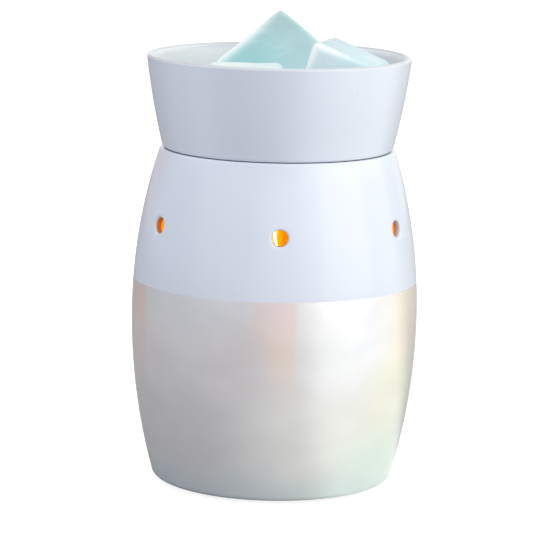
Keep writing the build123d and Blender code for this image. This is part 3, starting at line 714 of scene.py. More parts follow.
def body_profile():
    """The body's wall, from the underside of its foot up the outside and down the inside."""
    profile = Profile()
    foot_clear, rim_clear, ledge_clear = 6.0, 3.0, 1.5
    low_z, high_z = BODY_BOTTOM + foot_clear, BODY_TOP - rim_clear
    outer_low = (body_outside(low_z), low_z)
    outer_high = (body_outside(high_z), high_z)
    inner_high = (body_inside(high_z), high_z)
    inner_end = LEDGE_TOP + ledge_clear
    inner_low = (body_inside(inner_end), inner_end)
    foot_inner = (RECESS_RADIUS, BODY_BOTTOM)
    foot_outer = (BODY_FOOT_RADIUS, BODY_BOTTOM)
    rim_outer = (BODY_RIM_RADIUS, BODY_TOP)
    rim_inner = (RIM_OPENING, BODY_TOP)
    ledge_wall = (body_inside(LEDGE_TOP), LEDGE_TOP)
    ledge_upper = (LEDGE_RADIUS, LEDGE_TOP)
    ledge_lower = (LEDGE_RADIUS, LEDGE_BOTTOM)
    recess = (RECESS_RADIUS, LEDGE_BOTTOM)
    profile.round_off((foot_inner, foot_outer, outer_low), FOOT_ROUND)
    profile.add([(body_outside(z), z) for z in spaced(low_z, GLAZE_LINE_Z)])
    upper = profile.add([(body_outside(z), z) for z in spaced(GLAZE_LINE_Z, high_z)[1:]])
    profile.round_off((outer_high, rim_outer, rim_inner, inner_high), RIM_ROUND)
    inner = profile.add([(body_inside(z), z) for z in spaced(high_z, inner_end)])
    ledge = (inner_low, ledge_wall, ledge_upper, ledge_lower, recess, foot_inner, foot_outer)
    _, bare_row, *_ = profile.round_off(ledge, LEDGE_ROUND)
    profile.add(profile.points[:1])
    return profile.points, upper, inner, bare_row


def glazed_body(tree, pearl, white, chamber, bare_clay):
    """The body's shell, in its four finishes."""
    points, upper, inner, bare_row = body_profile()
    outer_hole = row_at(points, LIGHT_HOLE_Z, *upper)
    inner_hole = row_at(points, LIGHT_HOLE_Z, *inner)
    outer_inlet = round(row_at(points, INLET_Z, 0, upper[0])) - INLET_CELLS // 2
    inner_inlet = round(row_at(points, INLET_Z, *inner)) - INLET_CELLS // 2

    def row_step(hole_row):
        below, above = points[int(hole_row)], points[int(hole_row) + 1]
        return hypot(above[0] - below[0], above[1] - below[1])

    pitch = COLUMNS // LIGHT_HOLES
    column_turn = FULL_TURN / COLUMNS
    inlet_column = round((INLET_ANGLE - FIRST_HOLE_ANGLE) / column_turn + pitch / 2) - INLET_CELLS // 2
    piece = grown(
        "glazed_body",
        as_chain(points),
        tree,
        {
            "Columns": COLUMNS,
            "Rows": len(points),
            "Holes": LIGHT_HOLES,
            "Hole Cells": LIGHT_HOLE_CELLS,
            "Outer Patch Row": round(outer_hole) - LIGHT_HOLE_CELLS // 2,
            "Inner Patch Row": round(inner_hole) - LIGHT_HOLE_CELLS // 2,
            "Inlet Column": inlet_column,
            "Inlet Cells": INLET_CELLS,
            "Inlet Outer Row": outer_inlet,
            "Inlet Inner Row": inner_inlet,
            "Outer Hole Row": outer_hole,
            "Inner Hole Row": inner_hole,
            "Outer Row Step": row_step(outer_hole) * MM,
            "Inner Row Step": row_step(inner_hole) * MM,
            "Hole Radius": LIGHT_HOLE_RADIUS * MM,
            "Mouth Round": LIGHT_HOLE_ROUND * MM,
            "First Angle": radians(FIRST_HOLE_ANGLE),
            "Second Zone Row": upper[0] - 1.0,
            "Third Zone Row": inner[0] - CORNER_STEPS / 2,
            "Fourth Zone Row": float(bare_row),
            "First Zone": pearl,
            "Second Zone": white,
            "Third Zone": chamber,
            "Fourth Zone": bare_clay,
        },
    )

    def grid_square(first_row, upwards):
        """The square edge of the inlet's gap on the grid, as places, from its lower corner on the right."""
        span = range(INLET_CELLS)
        steps = [(i, 0) for i in span] + [(INLET_CELLS, i) for i in span]
        steps += [(INLET_CELLS - i, INLET_CELLS) for i in span] + [(0, INLET_CELLS - i) for i in span]
        places = []
        for across, up in steps:
            row = first_row + (up if upwards else INLET_CELLS - up)
            turn = radians(FIRST_HOLE_ANGLE + (inlet_column + across - pitch / 2) * column_turn)
            radius, z = points[row]
            places.append(mm(radius * cos(turn), radius * sin(turn), z))
        return places

    def ring(radius, depth_at):
        """A circle about the inlet's axis. depth_at gives Y for a point's X and Z."""
        places = []
        for i in range(4 * INLET_CELLS):
            turn = radians(-QUARTER_TURN / 2 - QUARTER_TURN * i / INLET_CELLS)
            x, z = radius * cos(turn), INLET_Z + radius * sin(turn)
            places.append(mm(x, depth_at(x, z), z))
        return places

    def outside(x, z):
        return sqrt(body_outside(z) ** 2 - x**2)

    def inside(x, z):
        return sqrt(body_inside(z) ** 2 - x**2)

    def between(first, last, shares):
        """Loops on the way from one loop to another."""
        return [[a.lerp(b, share) for a, b in zip(first, last)] for share in shares]

    def inlet(net):
        """Fill the gap in the back wall with the sunk flat, the hole and the boss inside."""
        bevel = SPOTFACE_ROUND / 2
        hole_edge = INLET_HOLE_RADIUS + SPOTFACE_ROUND
        outer_square = grid_square(outer_inlet, True)
        outer_circle = ring(SPOTFACE_RADIUS + SPOTFACE_ROUND, outside)
        rings = [outer_square, *between(outer_square, outer_circle, (0.4, 0.75)), outer_circle]
        rings += [
            ring(SPOTFACE_RADIUS + bevel / 4, lambda x, z: outside(x, z) - bevel / 2),
            ring(SPOTFACE_RADIUS, lambda x, z: max(outside(x, z) - SPOTFACE_ROUND, SPOTFACE_Y)),
        ]
        flat_rings = (
            (SPOTFACE_RADIUS, SPOTFACE_Y),
            (SPOTFACE_RADIUS - bevel, SPOTFACE_Y),
            (hole_edge, SPOTFACE_Y),
            (INLET_HOLE_RADIUS, SPOTFACE_Y - SPOTFACE_ROUND),
            (INLET_HOLE_RADIUS, BOSS_Y + SPOTFACE_ROUND),
            (hole_edge, BOSS_Y),
            (BOSS_RADIUS - bevel, BOSS_Y),
            (BOSS_RADIUS, BOSS_Y + bevel),
        )
        rings += [ring(radius, lambda x, z, y=y: y) for radius, y in flat_rings]
        inner_circle = ring(BOSS_RADIUS, inside)
        inner_square = grid_square(inner_inlet, False)
        rings += [inner_circle, *between(inner_circle, inner_square, (0.5, 1.0))]
        lustre_rings = 10
        lustre_zone, chamber_zone = 0, 2
        loops = [[net.verts.new(place) for place in places] for places in rings]
        for number, (one, other) in enumerate(zip(loops, loops[1:])):
            for i in range(len(one)):
                j = (i + 1) % len(one)
                face = net.faces.new((one[i], one[j], other[j], other[i]))
                face.smooth = True
                face.material_index = lustre_zone if number < lustre_rings else chamber_zone

    reshape(piece, inlet)
    return piece


# Dish, lamp and wax


def arc_radius(points):
    """A function for the radius at a height, on the arc through three (radius, height) points."""
    (r1, z1), (r2, z2), (r3, z3) = points
    a, b = 2 * (r2 - r1), 2 * (z2 - z1)
    c, d = 2 * (r3 - r1), 2 * (z3 - z1)
    e = r2**2 + z2**2 - r1**2 - z1**2
    f = r3**2 + z3**2 - r1**2 - z1**2
    centre_r = (e * d - b * f) / (a * d - b * c)
    centre_z = (a * f - e * c) / (a * d - b * c)
    bend = hypot(r2 - centre_r, z2 - centre_z)
    side = 1.0 if r2 > centre_r else -1.0
    return lambda z: centre_r + side * sqrt(bend**2 - (z - centre_z) ** 2)


DISH_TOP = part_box("wax_dish")[1].z / MM
DISH_UNDERSIDE = BODY_TOP + DISH_HOLLOW
DISH_FLOOR_TOP = DISH_UNDERSIDE + DISH_FLOOR
SPIGOT_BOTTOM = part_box("wax_dish")[0].z / MM
dish_outside = arc_radius(
    (
        (DISH_FOOT_RADIUS, BODY_TOP),
        (DISH_MID_RADIUS, (BODY_TOP + DISH_TOP) / 2),
        (DISH_RIM_RADIUS, DISH_TOP),
    )
)


def dish_inside(z):
    return dish_outside(z) - DISH_LIP


def flared_bowl(z):
    """The bowl's wall, which flares out towards the crest of the lip."""
    share = max(0.0, 1 - (DISH_TOP - z) / BOWL_FLARE)
    return dish_inside(z) + (DISH_LIP - LIP_CREST) * share**2


def bowl_radius(z):
    """Radius of the dish's hollow at a height, with its rounded floor corner."""
    rise = z - DISH_FLOOR_TOP
    if rise >= DISH_FLOOR_ROUND:
        return dish_inside(z)
    fall = DISH_FLOOR_ROUND - max(rise, 0.0)
    return dish_inside(z) - DISH_FLOOR_ROUND + sqrt(DISH_FLOOR_ROUND**2 - fall**2)


def plain_shell(rows, finish):
    """Inputs of the shell tree for a piece with no holes and one finish."""
    return {"Columns": COLUMNS, "Rows": rows, **{zone: finish for zone in ZONES}}


def glazed_dish(tree, glaze):
    """The dish, from the middle of its underside round its spigot, wall and lip to its floor's middle."""
    profile = Profile()
    wall_clear, lip_depth, floor_clear = 3.5, 2.0, 1.5
    bore_clear, corner_clear, flat_step = 2.0, 4.0, 3.0
    low_z, high_z = BODY_TOP + wall_clear, DISH_TOP - wall_clear
    floor_z = DISH_FLOOR_TOP + DISH_FLOOR_ROUND + floor_clear
    flat_edge = dish_inside(floor_z) - DISH_FLOOR_ROUND - corner_clear
    middle = (0.0, DISH_UNDERSIDE)
    under = (SPIGOT_BORE, DISH_UNDERSIDE)
    bore_end = (SPIGOT_BORE, SPIGOT_BOTTOM)
    spigot_end = (SPIGOT_RADIUS, SPIGOT_BOTTOM)
    seat = (SPIGOT_RADIUS, BODY_TOP)
    foot = (DISH_FOOT_RADIUS, BODY_TOP)
    outer_low = (dish_outside(low_z), low_z)
    outer_high = (dish_outside(high_z), high_z)
    crease = (dish_outside(DISH_TOP - LIP_BEVEL), DISH_TOP - LIP_BEVEL)
    crest = (DISH_RIM_RADIUS - LIP_CREST, DISH_TOP + LIP_RISE)
    inner_z = DISH_TOP - lip_depth
    inner_high = (flared_bowl(inner_z), inner_z)
    inner_low = (dish_inside(floor_z), floor_z)
    floor_corner = (dish_inside(DISH_FLOOR_TOP), DISH_FLOOR_TOP)
    floor_middle = (0.0, DISH_FLOOR_TOP)
    profile.add([(r, DISH_UNDERSIDE) for r in spaced(0.0, SPIGOT_BORE - bore_clear, flat_step)])
    profile.round_off((middle, under, bore_end, spigot_end, seat), SPIGOT_ROUND)
    profile.round_off((spigot_end, seat, foot), SPIGOT_ROUND / 2)
    profile.round_off((seat, foot, outer_low), DISH_FOOT_ROUND)
    profile.add([(dish_outside(z), z) for z in spaced(low_z, high_z)])
    profile.round_off((outer_high, crease, crest), LIP_CREASE)
    profile.round_off((crease, crest, inner_high), LIP_ROUND)
    profile.add([(flared_bowl(z), z) for z in spaced(inner_z, floor_z)])
    profile.add(corner(inner_low, floor_corner, floor_middle, DISH_FLOOR_ROUND)[1:])
    profile.add([(r, DISH_FLOOR_TOP) for r in spaced(flat_edge, 0.0, flat_step)])
    piece = grown("glazed_dish", as_chain(profile.points), tree, plain_shell(len(profile.points), glaze))
    reshape(piece)
    return piece


def lamp_glass(tree, name, node, wall, finish):
    """A glass tube with a round dome, open at its lower end."""
    low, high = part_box(node)
    radius, bottom, top = high.x / MM, low.z / MM, high.z / MM
    spring = top - radius
    lip = wall * GLASS_LIP_SHARE
    end = bottom + GLASS_END
    dome = [radians(QUARTER_TURN * i / DOME_STEPS) for i in range(DOME_STEPS + 1)]
    profile = Profile()
    profile.add(corner((radius - wall, bottom), (radius, bottom), (radius, spring), lip, GLASS_LIP_STEPS))
    profile.add([(radius, z) for z in spaced(end, spring, GLASS_ROW_STEP)[:-1]])
    profile.add([(radius * cos(a), spring + radius * sin(a)) for a in dome[:-1]] + [(0.0, top)])
    inner = radius - wall
    profile.add([(0.0, top - wall)] + [(inner * cos(a), spring + inner * sin(a)) for a in dome[-2::-1]])
    profile.add([(inner, z) for z in spaced(spring, end, GLASS_ROW_STEP)[1:]])
    profile.add(corner((inner, spring), (inner, bottom), (radius, bottom), lip, GLASS_LIP_STEPS))
    profile.add(profile.points[:1])
    values = plain_shell(len(profile.points), finish)
    values["Columns"] = GLASS_COLUMNS
    piece = grown(name, as_chain(profile.points), tree, values)
    reshape(piece)
    return piece


def filament_coil(finish):
    """The glowing coil, leaning a little in its capsule."""
    values = {
        "Coil Radius": FILAMENT_RADIUS * MM,
        "Wire Radius": FILAMENT_WIRE * MM,
        "Length": FILAMENT_LENGTH * MM,
        "Turns": FILAMENT_TURNS,
        "Finish": finish,
    }
    piece = grown("lamp_filament_coil", [(0.0, 0.0, 0.0)], coil_tree(), values)
    lean = Matrix.Rotation(radians(-FILAMENT_TILT), 4, "Y")
    piece.data.transform(Matrix.Translation(mm(0.0, 0.0, FILAMENT_Z)) @ lean)
    reshape(piece)
    return piece


def wax_block(name, size, middle, turn, painted_paleness, finish):
    """A cast block of wax: drafted sides, soft edges, uneven faces, and a flat where it sits in the dish."""
    half = Vector(size) / 2
    side_pale, top_pale, edge_pale = painted_paleness
    net = bmesh.new()
    painted_light_layer = net.verts.layers.float.new("edge")
    bmesh.ops.create_cube(net, size=2.0)
    bmesh.ops.subdivide_edges(net, edges=net.edges[:], cuts=WAX_CELLS - 1, use_grid_fill=True)
    spin = Euler([radians(angle) for angle in turn], "ZYX").to_matrix()
    place = Vector((middle[0], middle[1], DISH_FLOOR_TOP + middle[2]))
    for vert in net.verts:
        point, core = Vector(), Vector()
        for axis in range(3):
            share = abs(vert.co[axis])
            side = 1.0 if vert.co[axis] > 0 else -1.0
            flat = half[axis] - WAX_ROUND
            if share < 1 - WAX_EDGE_SHARE:
                reach = flat * share / (1 - WAX_EDGE_SHARE)
            else:
                reach = flat + WAX_ROUND * (share - 1 + WAX_EDGE_SHARE) / WAX_EDGE_SHARE
            point[axis] = side * reach
            core[axis] = side * min(reach, flat)
        outward = (point - core).normalized()
        to_edge = sorted(half[axis] - abs(point[axis]) for axis in range(3))[1]
        skin = core + outward * WAX_ROUND
        swell = 0.5 + 0.5 * noise.noise((skin + place) / WAX_SWELL_SIZE)
        grain = 0.5 + 0.5 * noise.noise((skin + place) / WAX_GRAIN_SIZE)
        sink = max(0.0, -outward.z) * (1 - (skin.x / half.x) ** 2) * (1 - (skin.y / half.y) ** 2)
        seated = max(0.0, -(spin @ outward).z)
        skin -= outward * (1 - seated) * (WAX_SWELL * swell + WAX_GRAIN * grain + WAX_SINK * sink)
        draft = (skin.z + half.z) * tan(radians(WAX_DRAFT))
        skin.x *= 1 - draft / half.x
        skin.y *= 1 - draft / half.y
        put = spin @ skin + place
        # Painted light kept on each point: the block's pale faces, and paler edges, most on the left
        left = min(1.0, max(0.0, 0.5 - (put.x - place.x) / WAX_LEFT_REACH))
        upward = max(0.0, (spin @ outward).z)
        face_pale = side_pale + (top_pale - side_pale) * upward
        thin_pale = edge_pale * exp(-to_edge / WAX_EDGE_FADE) * (1 - WAX_UPPER_LOSS * upward)
        thin_pale *= WAX_RIGHT_PALE + (1 - WAX_RIGHT_PALE) * left
        vert[painted_light_layer] = max(face_pale, thin_pale)
        limit = bowl_radius(put.z) - WAX_CLEARANCE
        spread = hypot(put.x, put.y)
        if put.z < DISH_TOP and spread > limit:
            put.x *= limit / spread
            put.y *= limit / spread
        vert.co = put * MM
    flat_z = (DISH_FLOOR_TOP + WAX_CLEARANCE) * MM
    everything = net.verts[:] + net.edges[:] + net.faces[:]
    cut = bmesh.ops.bisect_plane(
        net, geom=everything, plane_co=(0.0, 0.0, flat_z), plane_no=(0.0, 0.0, 1.0), clear_inner=True
    )
    rim = [item for item in cut["geom_cut"] if isinstance(item, bmesh.types.BMEdge)]
    if rim:
        bmesh.ops.contextual_create(net, geom=rim)
    bmesh.ops.recalc_face_normals(net, faces=net.faces)
    for face in net.faces:
        face.smooth = True
    mesh = bpy.data.meshes.new(name)
    net.to_mesh(mesh)
    net.free()
    mesh.materials.append(finish)
    return in_scene(name, mesh)


# Finishes


def finish_of(name, constants):
    """A new material with the sockets that are the same all over, its bench and its shader."""
    material = bpy.data.materials.new(name)
    material.use_nodes = True
    shader = material.node_tree.nodes["Principled BSDF"]
    for socket, value in constants.items():
        shader.inputs[socket].default_value = value
    return material, Bench(material.node_tree), shader


def surface_group(name, inputs):
    """A new shader node group that puts out a surface's colour, roughness and height."""
    outputs = {"Colour": "colour", "Roughness": "number", "Height": "number"}
    return node_group(name, "ShaderNodeTree", inputs, outputs)


def here(bench):
    """Where a point is on its object."""
    return bench.made("ShaderNodeTexCoord", key="Object")


def in_mm(bench):
    """X, Y and Z of a point on its object, in millimetres."""
    return bench.split(stretched(bench, here(bench), (1 / MM, 1 / MM, 1 / MM)))


def distance(bench, across, along):
    """How far away a point is, from its two offsets."""
    return bench.math("SQRT", across * across + along * along)


def angle_from_front(bench, x, y):
    """Degrees about Z, to the right of the front."""
    return bench.math("DEGREES", bench.math("ARCTAN2", x, y * -1.0))


def cloud(bench, vector, scale, detail=2.0):
    """Soft noise from 0 to 1, with features of about 1 / scale metres."""
    inputs = {"Vector": vector, "Scale": scale, "Detail": detail, "Roughness": 0.5}
    return bench.made("ShaderNodeTexNoise", inputs)


def ramp(bench, value, low, high):
    """0 below low, 1 above high, and a soft rise between."""
    inputs = {"Value": value, 1: low, 2: high, 3: 0.0, 4: 1.0}
    return bench.made("ShaderNodeMapRange", inputs, interpolation_type="SMOOTHSTEP")


def tinted(bench, share, first, second):
    """The first colour where share is 0, and the second where it is 1."""
    return bench.made("ShaderNodeMix", {0: share, 6: first, 7: second}, key=2, data_type="RGBA")


def faded(bench, value, limits, first, second):
    """The first colour below two limits, the second above them, and a soft change between."""
    return tinted(bench, ramp(bench, value, *limits), first, second)


def stretched(bench, vector, scale):
    """A place stretched along its axes."""
    return bench.made("ShaderNodeVectorMath", {0: vector, 1: scale}, operation="MULTIPLY")


def rgb(*values):
    """An opaque colour."""
    return (*values, 1.0)


def fired_glaze_group():
    """A fired glaze: slow clouds of a second tint, a few fine specks, and the ripple of a dipped surface."""
    inputs = {"Colour": "colour", "Cloud": "colour", "Speck": "colour", "Specks": "number", "Gloss": "number"}
    bench, given, close = surface_group("fired_glaze", inputs)
    place = here(bench)
    cloud_scale, speck_scale, gloss_scale, ripple_scale, grain_scale = 22.0, 210.0, 45.0, 60.0, 900.0
    cloud_edge, speck_edge = (0.3, 0.7), (0.03, 0.11)
    speck_strength, gloss_change, grain_height, pit_depth = 0.6, 0.08, 0.02, 0.03
    colour = faded(bench, cloud(bench, place, cloud_scale, 3.0), cloud_edge, given["Colour"], given["Cloud"])
    pits = bench.place("ShaderNodeTexVoronoi", {"Vector": place, "Scale": speck_scale}, feature="F1")
    chance, _, _ = bench.split(bench.out(pits, "Color"))
    dot = 1.0 - ramp(bench, bench.out(pits, "Distance"), *speck_edge)
    dot = dot * chance.below(given["Specks"])
    colour = tinted(bench, dot * speck_strength, colour, given["Speck"])
    roughness = given["Gloss"] + (cloud(bench, place, gloss_scale) - 0.5) * gloss_change
    ripple = cloud(bench, place, ripple_scale, 1.0)
    height = ripple + cloud(bench, place, grain_scale) * grain_height - dot * pit_depth
    return close(Colour=colour, Roughness=roughness, Height=height)


def worn_metal_group():
    """Plated or drawn metal: fine lines along one way, and dull patches."""
    inputs = {"Colour": "colour", "Dull": "colour", "Roughness": "number", "Fineness": "number"}
    bench, given, close = surface_group("worn_metal", inputs)
    place = here(bench)
    line_stretch, patch_scale, patch_edge = (0.06, 1.0, 1.0), 160.0, (0.42, 0.7)
    patch_share, line_share, patch_change, line_change = 0.7, 0.3, 0.14, 0.2
    lines = cloud(bench, stretched(bench, place, line_stretch), given["Fineness"], 4.0)
    patch = ramp(bench, cloud(bench, place, patch_scale, 4.0), *patch_edge)
    colour = tinted(bench, patch * patch_share + lines * line_share, given["Colour"], given["Dull"])
    roughness = given["Roughness"] + patch * patch_change + (lines - 0.5) * line_change
    return close(Colour=colour, Roughness=roughness, Height=lines)


def fine_grain_group():
    """Moulded or fired stuff: a fine grain and faint mottling."""
    inputs = {"Colour": "colour", "Mottle": "colour", "Roughness": "number", "Grain": "number"}
    bench, given, close = surface_group("fine_grain", inputs)
    place = here(bench)
    blot_scale, blot_edge = 120.0, (0.35, 0.72)
    blot_share, grain_share, grain_change = 0.65, 0.35, 0.16
    grain = cloud(bench, place, given["Grain"], 3.0)
    blot = ramp(bench, cloud(bench, place, blot_scale, 3.0), *blot_edge)
    colour = tinted(bench, blot * blot_share + grain * grain_share, given["Colour"], given["Mottle"])
    roughness = given["Roughness"] + (grain - 0.5) * grain_change
    return close(Colour=colour, Roughness=roughness, Height=grain)


def tint_and_painted_light_band_group():
    """A band of a second colour on a glaze, between two angles and two heights, with soft edges."""
    numbers = ("Angle", "Height", *(value for value in BAND_VALUES if value != "Tint"))
    inputs = {"Colour": "colour", "Tint": "colour", **{number: "number" for number in numbers}}
    bench, given, close = node_group("tint_and_painted_light_band", "ShaderNodeTree", inputs, {"Colour": "colour"})

    def past_angle(edge):
        """0 before one of the band's two angles and 1 past it."""
        past = (given["Angle"] - given[edge] + FULL_TURN + HALF_TURN) % FULL_TURN - HALF_TURN
        soft = given[f"{edge} Softness"]
        return ramp(bench, past, soft * -1.0, soft)

    def above_height(edge):
        """0 below one of the band's two heights and 1 above it."""
        return ramp(bench, given["Height"], given[edge] - BAND_SOFTNESS, given[edge] + BAND_SOFTNESS)

    across = past_angle("Start") * (1.0 - past_angle("End"))
    upright = above_height("Low") * (1.0 - above_height("High"))
    share = across * upright * given["Strength"]
    return close(Colour=tinted(bench, share, given["Colour"], given["Tint"]))


def light_hole_group():
    """For the light holes: a point's depth in the body's wall, if it is level with them, and its daylight."""
    outputs = {"Depth": "number", "Level": "number", "Daylight": "number"}
    bench, _, close = node_group("light_hole", "ShaderNodeTree", {}, outputs)
    x, y, z = in_mm(bench)
    rise = z - LIGHT_HOLE_Z
    higher = body_outside(LIGHT_HOLE_Z + HOLE_LEAN_SPAN)
    lower = body_outside(LIGHT_HOLE_Z - HOLE_LEAN_SPAN)
    lean = (higher - lower) / (2 * HOLE_LEAN_SPAN)
    depth = rise * lean + body_outside(LIGHT_HOLE_Z) - distance(bench, x, y)
    level = 1.0 - ramp(bench, rise.size(), *HOLE_LEVEL)
    return close(Depth=depth, Level=level, Daylight=ramp(bench, x, *HOLE_DAYLIGHT))


def roughen(bench, shader, height, bump_distance, bump_strength):
    """Feed a shader's bump from a height."""
    inputs = {"Strength": bump_strength, "Distance": bump_distance, "Height": height}
    bench.feed(shader.inputs["Normal"], bench.made("ShaderNodeBump", inputs))


def dress(bench, shader, tree, inputs, bump_distance, bump_strength):
    """Feed a shader's colour, roughness and bump from a shared group."""
    group = bench.place("ShaderNodeGroup", inputs, node_tree=tree)
    bench.feed(shader.inputs["Base Color"], bench.out(group, "Colour"))
    bench.feed(shader.inputs["Roughness"], bench.out(group, "Roughness"))
    roughen(bench, shader, bench.out(group, "Height"), bump_distance, bump_strength)


fired_glaze = fired_glaze_group()
worn_metal = worn_metal_group()
fine_grain = fine_grain_group()
tint_and_painted_light_band = tint_and_painted_light_band_group()
light_hole = light_hole_group()


def banded(bench, angle, height, colour, bands):
    """A glaze's colour with bands over it, from a point's angle right of the front and its height."""
    for band in bands:
        inputs = dict(zip(BAND_VALUES, band), Colour=colour, Angle=angle, Height=height)
        inputs["Tint"] = rgb(*inputs["Tint"])
        colour = bench.made("ShaderNodeGroup", inputs, key="Colour", node_tree=tint_and_painted_light_band)
    return colour


def white_gloss_glaze():
    """Cool white gloss glaze; painted shade in the seam under the dish, painted lamplight in the light holes.
    """
    constants = {"IOR": 1.5, "Coat Weight": 0.3, "Coat Roughness": 0.1}
    material, bench, shader = finish_of("white_gloss_glaze", constants)
    x, y, z = in_mm(bench)
    spread = distance(bench, x, y)

    # Outside of the body and of the dish: the dish's white painted a little lighter, and bands of painted
    # light and shade
    white = rgb(0.768, 0.815, 0.905)
    white = faded(bench, z - BODY_TOP, BODY_TO_DISH, white, rgb(0.785, 0.832, 0.925))
    white = banded(bench, angle_from_front(bench, x, y), z, white, WHITE_PAINTED_LIGHT_AND_SHADE)

    # Bowl and lip of the dish: painted light in the bowl's middle, painted shade at its ends and on the lip
    slope = (DISH_RIM_RADIUS - DISH_FOOT_RADIUS) / (DISH_TOP - BODY_TOP)
    wall_middle = (z - BODY_TOP) * slope + DISH_FOOT_RADIUS - DISH_LIP / 2
    inside = 1.0 - ramp(bench, spread - wall_middle, *BOWL_EDGE)
    inside = inside * ramp(bench, z - BODY_TOP, *BOWL_START)
    painted_light_white = rgb(1.0, 1.0, 1.0)
    bowl = faded(bench, x, BOWL_LEFT, rgb(0.71, 0.725, 0.74), painted_light_white)
    bowl = faded(bench, x, BOWL_RIGHT, bowl, rgb(0.77, 0.79, 0.835))
    brim = faded(bench, x, BRIM_ACROSS, rgb(0.875, 0.89, 0.905), painted_light_white)
    bowl = faded(bench, z - DISH_TOP, BRIM_START, bowl, brim)
    white = tinted(bench, inside, white, bowl)
    white = faded(bench, z - DISH_TOP, LIP_START, white, rgb(0.61, 0.64, 0.68))

    # Walls of the light holes: painted lamplight, duller where daylight gets in
    hole = bench.place("ShaderNodeGroup", node_tree=light_hole)
    daylight = bench.out(hole, "Daylight")
    tint_full = bench.blend(*HOLE_TINT_FULL, daylight)
    hole_wall = ramp(bench, bench.out(hole, "Depth"), HOLE_TINT_START, tint_full)
    hole_wall = hole_wall * bench.out(hole, "Level")
    mouth = tinted(bench, daylight, rgb(0.62, 0.33, 0.12), rgb(0.60, 0.42, 0.32))
    white = tinted(bench, hole_wall, white, mouth)

    # Seam between the body and the dish: painted shade
    beside = (spread - SEAM_RADIUS).size()
    level = (z - BODY_TOP).size()
    seam = (1.0 - ramp(bench, beside, *SEAM_BESIDE)) * (1.0 - ramp(bench, level, *SEAM_LEVEL))
    painted_seam_shade = rgb(0.28, 0.27, 0.27)
    cloud_share = 0.03
    inputs = {
        "Colour": tinted(bench, seam, white, painted_seam_shade),
        "Cloud": tinted(bench, seam, tinted(bench, cloud_share, white, rgb(0.2, 0.2, 0.3)), painted_seam_shade),
        "Speck": rgb(0.60, 0.58, 0.56),
        "Specks": 0.03,
        "Gloss": 0.21,
    }
    dress(bench, shader, fired_glaze, inputs, bump_distance=0.0004, bump_strength=0.12)
    return material


def pearl_lustre():
    """Pearly lustre glaze: pale pink, cream and mint tints and painted light over a clouded silvery white."""
    constants = {"IOR": 1.55, "Metallic": 0.42, "Coat Weight": 0.35, "Coat Roughness": 0.07}
    material, bench, shader = finish_of("pearl_lustre", constants)
    place = here(bench)
    x, y, z = in_mm(bench)
    waver_scale, angle_waver, height_waver = 26.0, 3.0, 26.0
    haze_scale, haze_stretch, haze_edge = 40.0, (1.0, 1.0, 1.7), (0.3, 0.7)
    cool_share, warm_share = 0.17, 0.14
    waver = cloud(bench, place, waver_scale, 2.0) - 0.5
    angle = angle_from_front(bench, x, y) + waver * angle_waver
    height = z + waver * height_waver
    # Pastel bands, among them painted reflections of the lamps' edges and painted shade low down
    colour = banded(bench, angle, height, rgb(0.87, 0.86, 0.865), LUSTRE_TINTS_AND_PAINTED_LIGHT)
    haze = cloud(bench, stretched(bench, place, haze_stretch), haze_scale, 3.0)
    haze = ramp(bench, haze, *haze_edge)
    inputs = {
        "Colour": tinted(bench, haze * cool_share, colour, rgb(0.46, 0.47, 0.54)),
        "Cloud": tinted(bench, haze * warm_share, colour, rgb(0.54, 0.50, 0.48)),
        "Speck": rgb(0.62, 0.60, 0.58),
        "Specks": 0.02,
        "Gloss": 0.21,
    }
    dress(bench, shader, fired_glaze, inputs, bump_distance=0.0004, bump_strength=0.15)
    return material


def lit_chamber_wall():
    """The body's glazed inside, its lamplight painted on as an amber glow, most near the filament's height.

    The painted glow has a brighter spot in front of the lamp and one behind it, and daylight dulls it in the
    holes on the right. Its amber base colour is painted lamplight as well.
    """
    constants = {"IOR": 1.5, "Emission Strength": 1.0}
    material, bench, shader = finish_of("lit_chamber_wall", constants)
    inputs = {
        "Colour": rgb(0.42, 0.29, 0.13),
        "Cloud": rgb(0.36, 0.23, 0.09),
        "Speck": rgb(0.30, 0.22, 0.14),
        "Specks": 0.05,
        "Gloss": 0.34,
    }
    dress(bench, shader, fired_glaze, inputs, bump_distance=0.0004, bump_strength=0.2)
    # Painted lamplight: an amber glow, duller in the holes on the right where daylight gets in
    place = here(bench)
    x, y, z = in_mm(bench)
    waver_scale = 60.0
    away = (z - FILAMENT_Z + GLOW_DROP).size() + (cloud(bench, place, waver_scale) - 0.5) * GLOW_WAVER
    turn = (angle_from_front(bench, x, y) + QUARTER_TURN) % HALF_TURN - QUARTER_TURN
    sideways = turn * radians(body_inside(GLOW_SPOT_Z))
    upwards = (z - GLOW_SPOT_Z) * GLOW_SPOT_SQUASH
    from_spot = distance(bench, sideways, upwards)
    amber = faded(bench, from_spot, GLOW_SPOT_HEART, rgb(1.0, 0.80, 0.42), rgb(1.0, 0.55, 0.0))
    amber = faded(bench, from_spot, GLOW_SPOT_EDGE, amber, rgb(0.88, 0.26, 0.0))
    glow = faded(bench, away, GLOW_REACH, amber, rgb(0.02, 0.005, 0.0))
    hole = bench.place("ShaderNodeGroup", node_tree=light_hole)
    shallow = 1.0 - ramp(bench, bench.out(hole, "Depth") - BODY_WALL, *HOLE_DULLED)
    dulled = bench.out(hole, "Daylight") * shallow * bench.out(hole, "Level")
    glow = tinted(bench, dulled, glow, rgb(0.28, 0.10, 0.03))
    bench.feed(shader.inputs["Emission Color"], glow)
    return material


def bare_clay():
    """Unglazed white clay of the foot ring and the ledge."""
    material, bench, shader = finish_of("bare_clay", {"IOR": 1.45})
    inputs = {
        "Colour": rgb(0.78, 0.76, 0.72),
        "Mottle": rgb(0.66, 0.63, 0.58),
        "Roughness": 0.82,
        "Grain": 1500.0,
    }
    dress(bench, shader, fine_grain, inputs, bump_distance=0.0003, bump_strength=0.5)
    return material


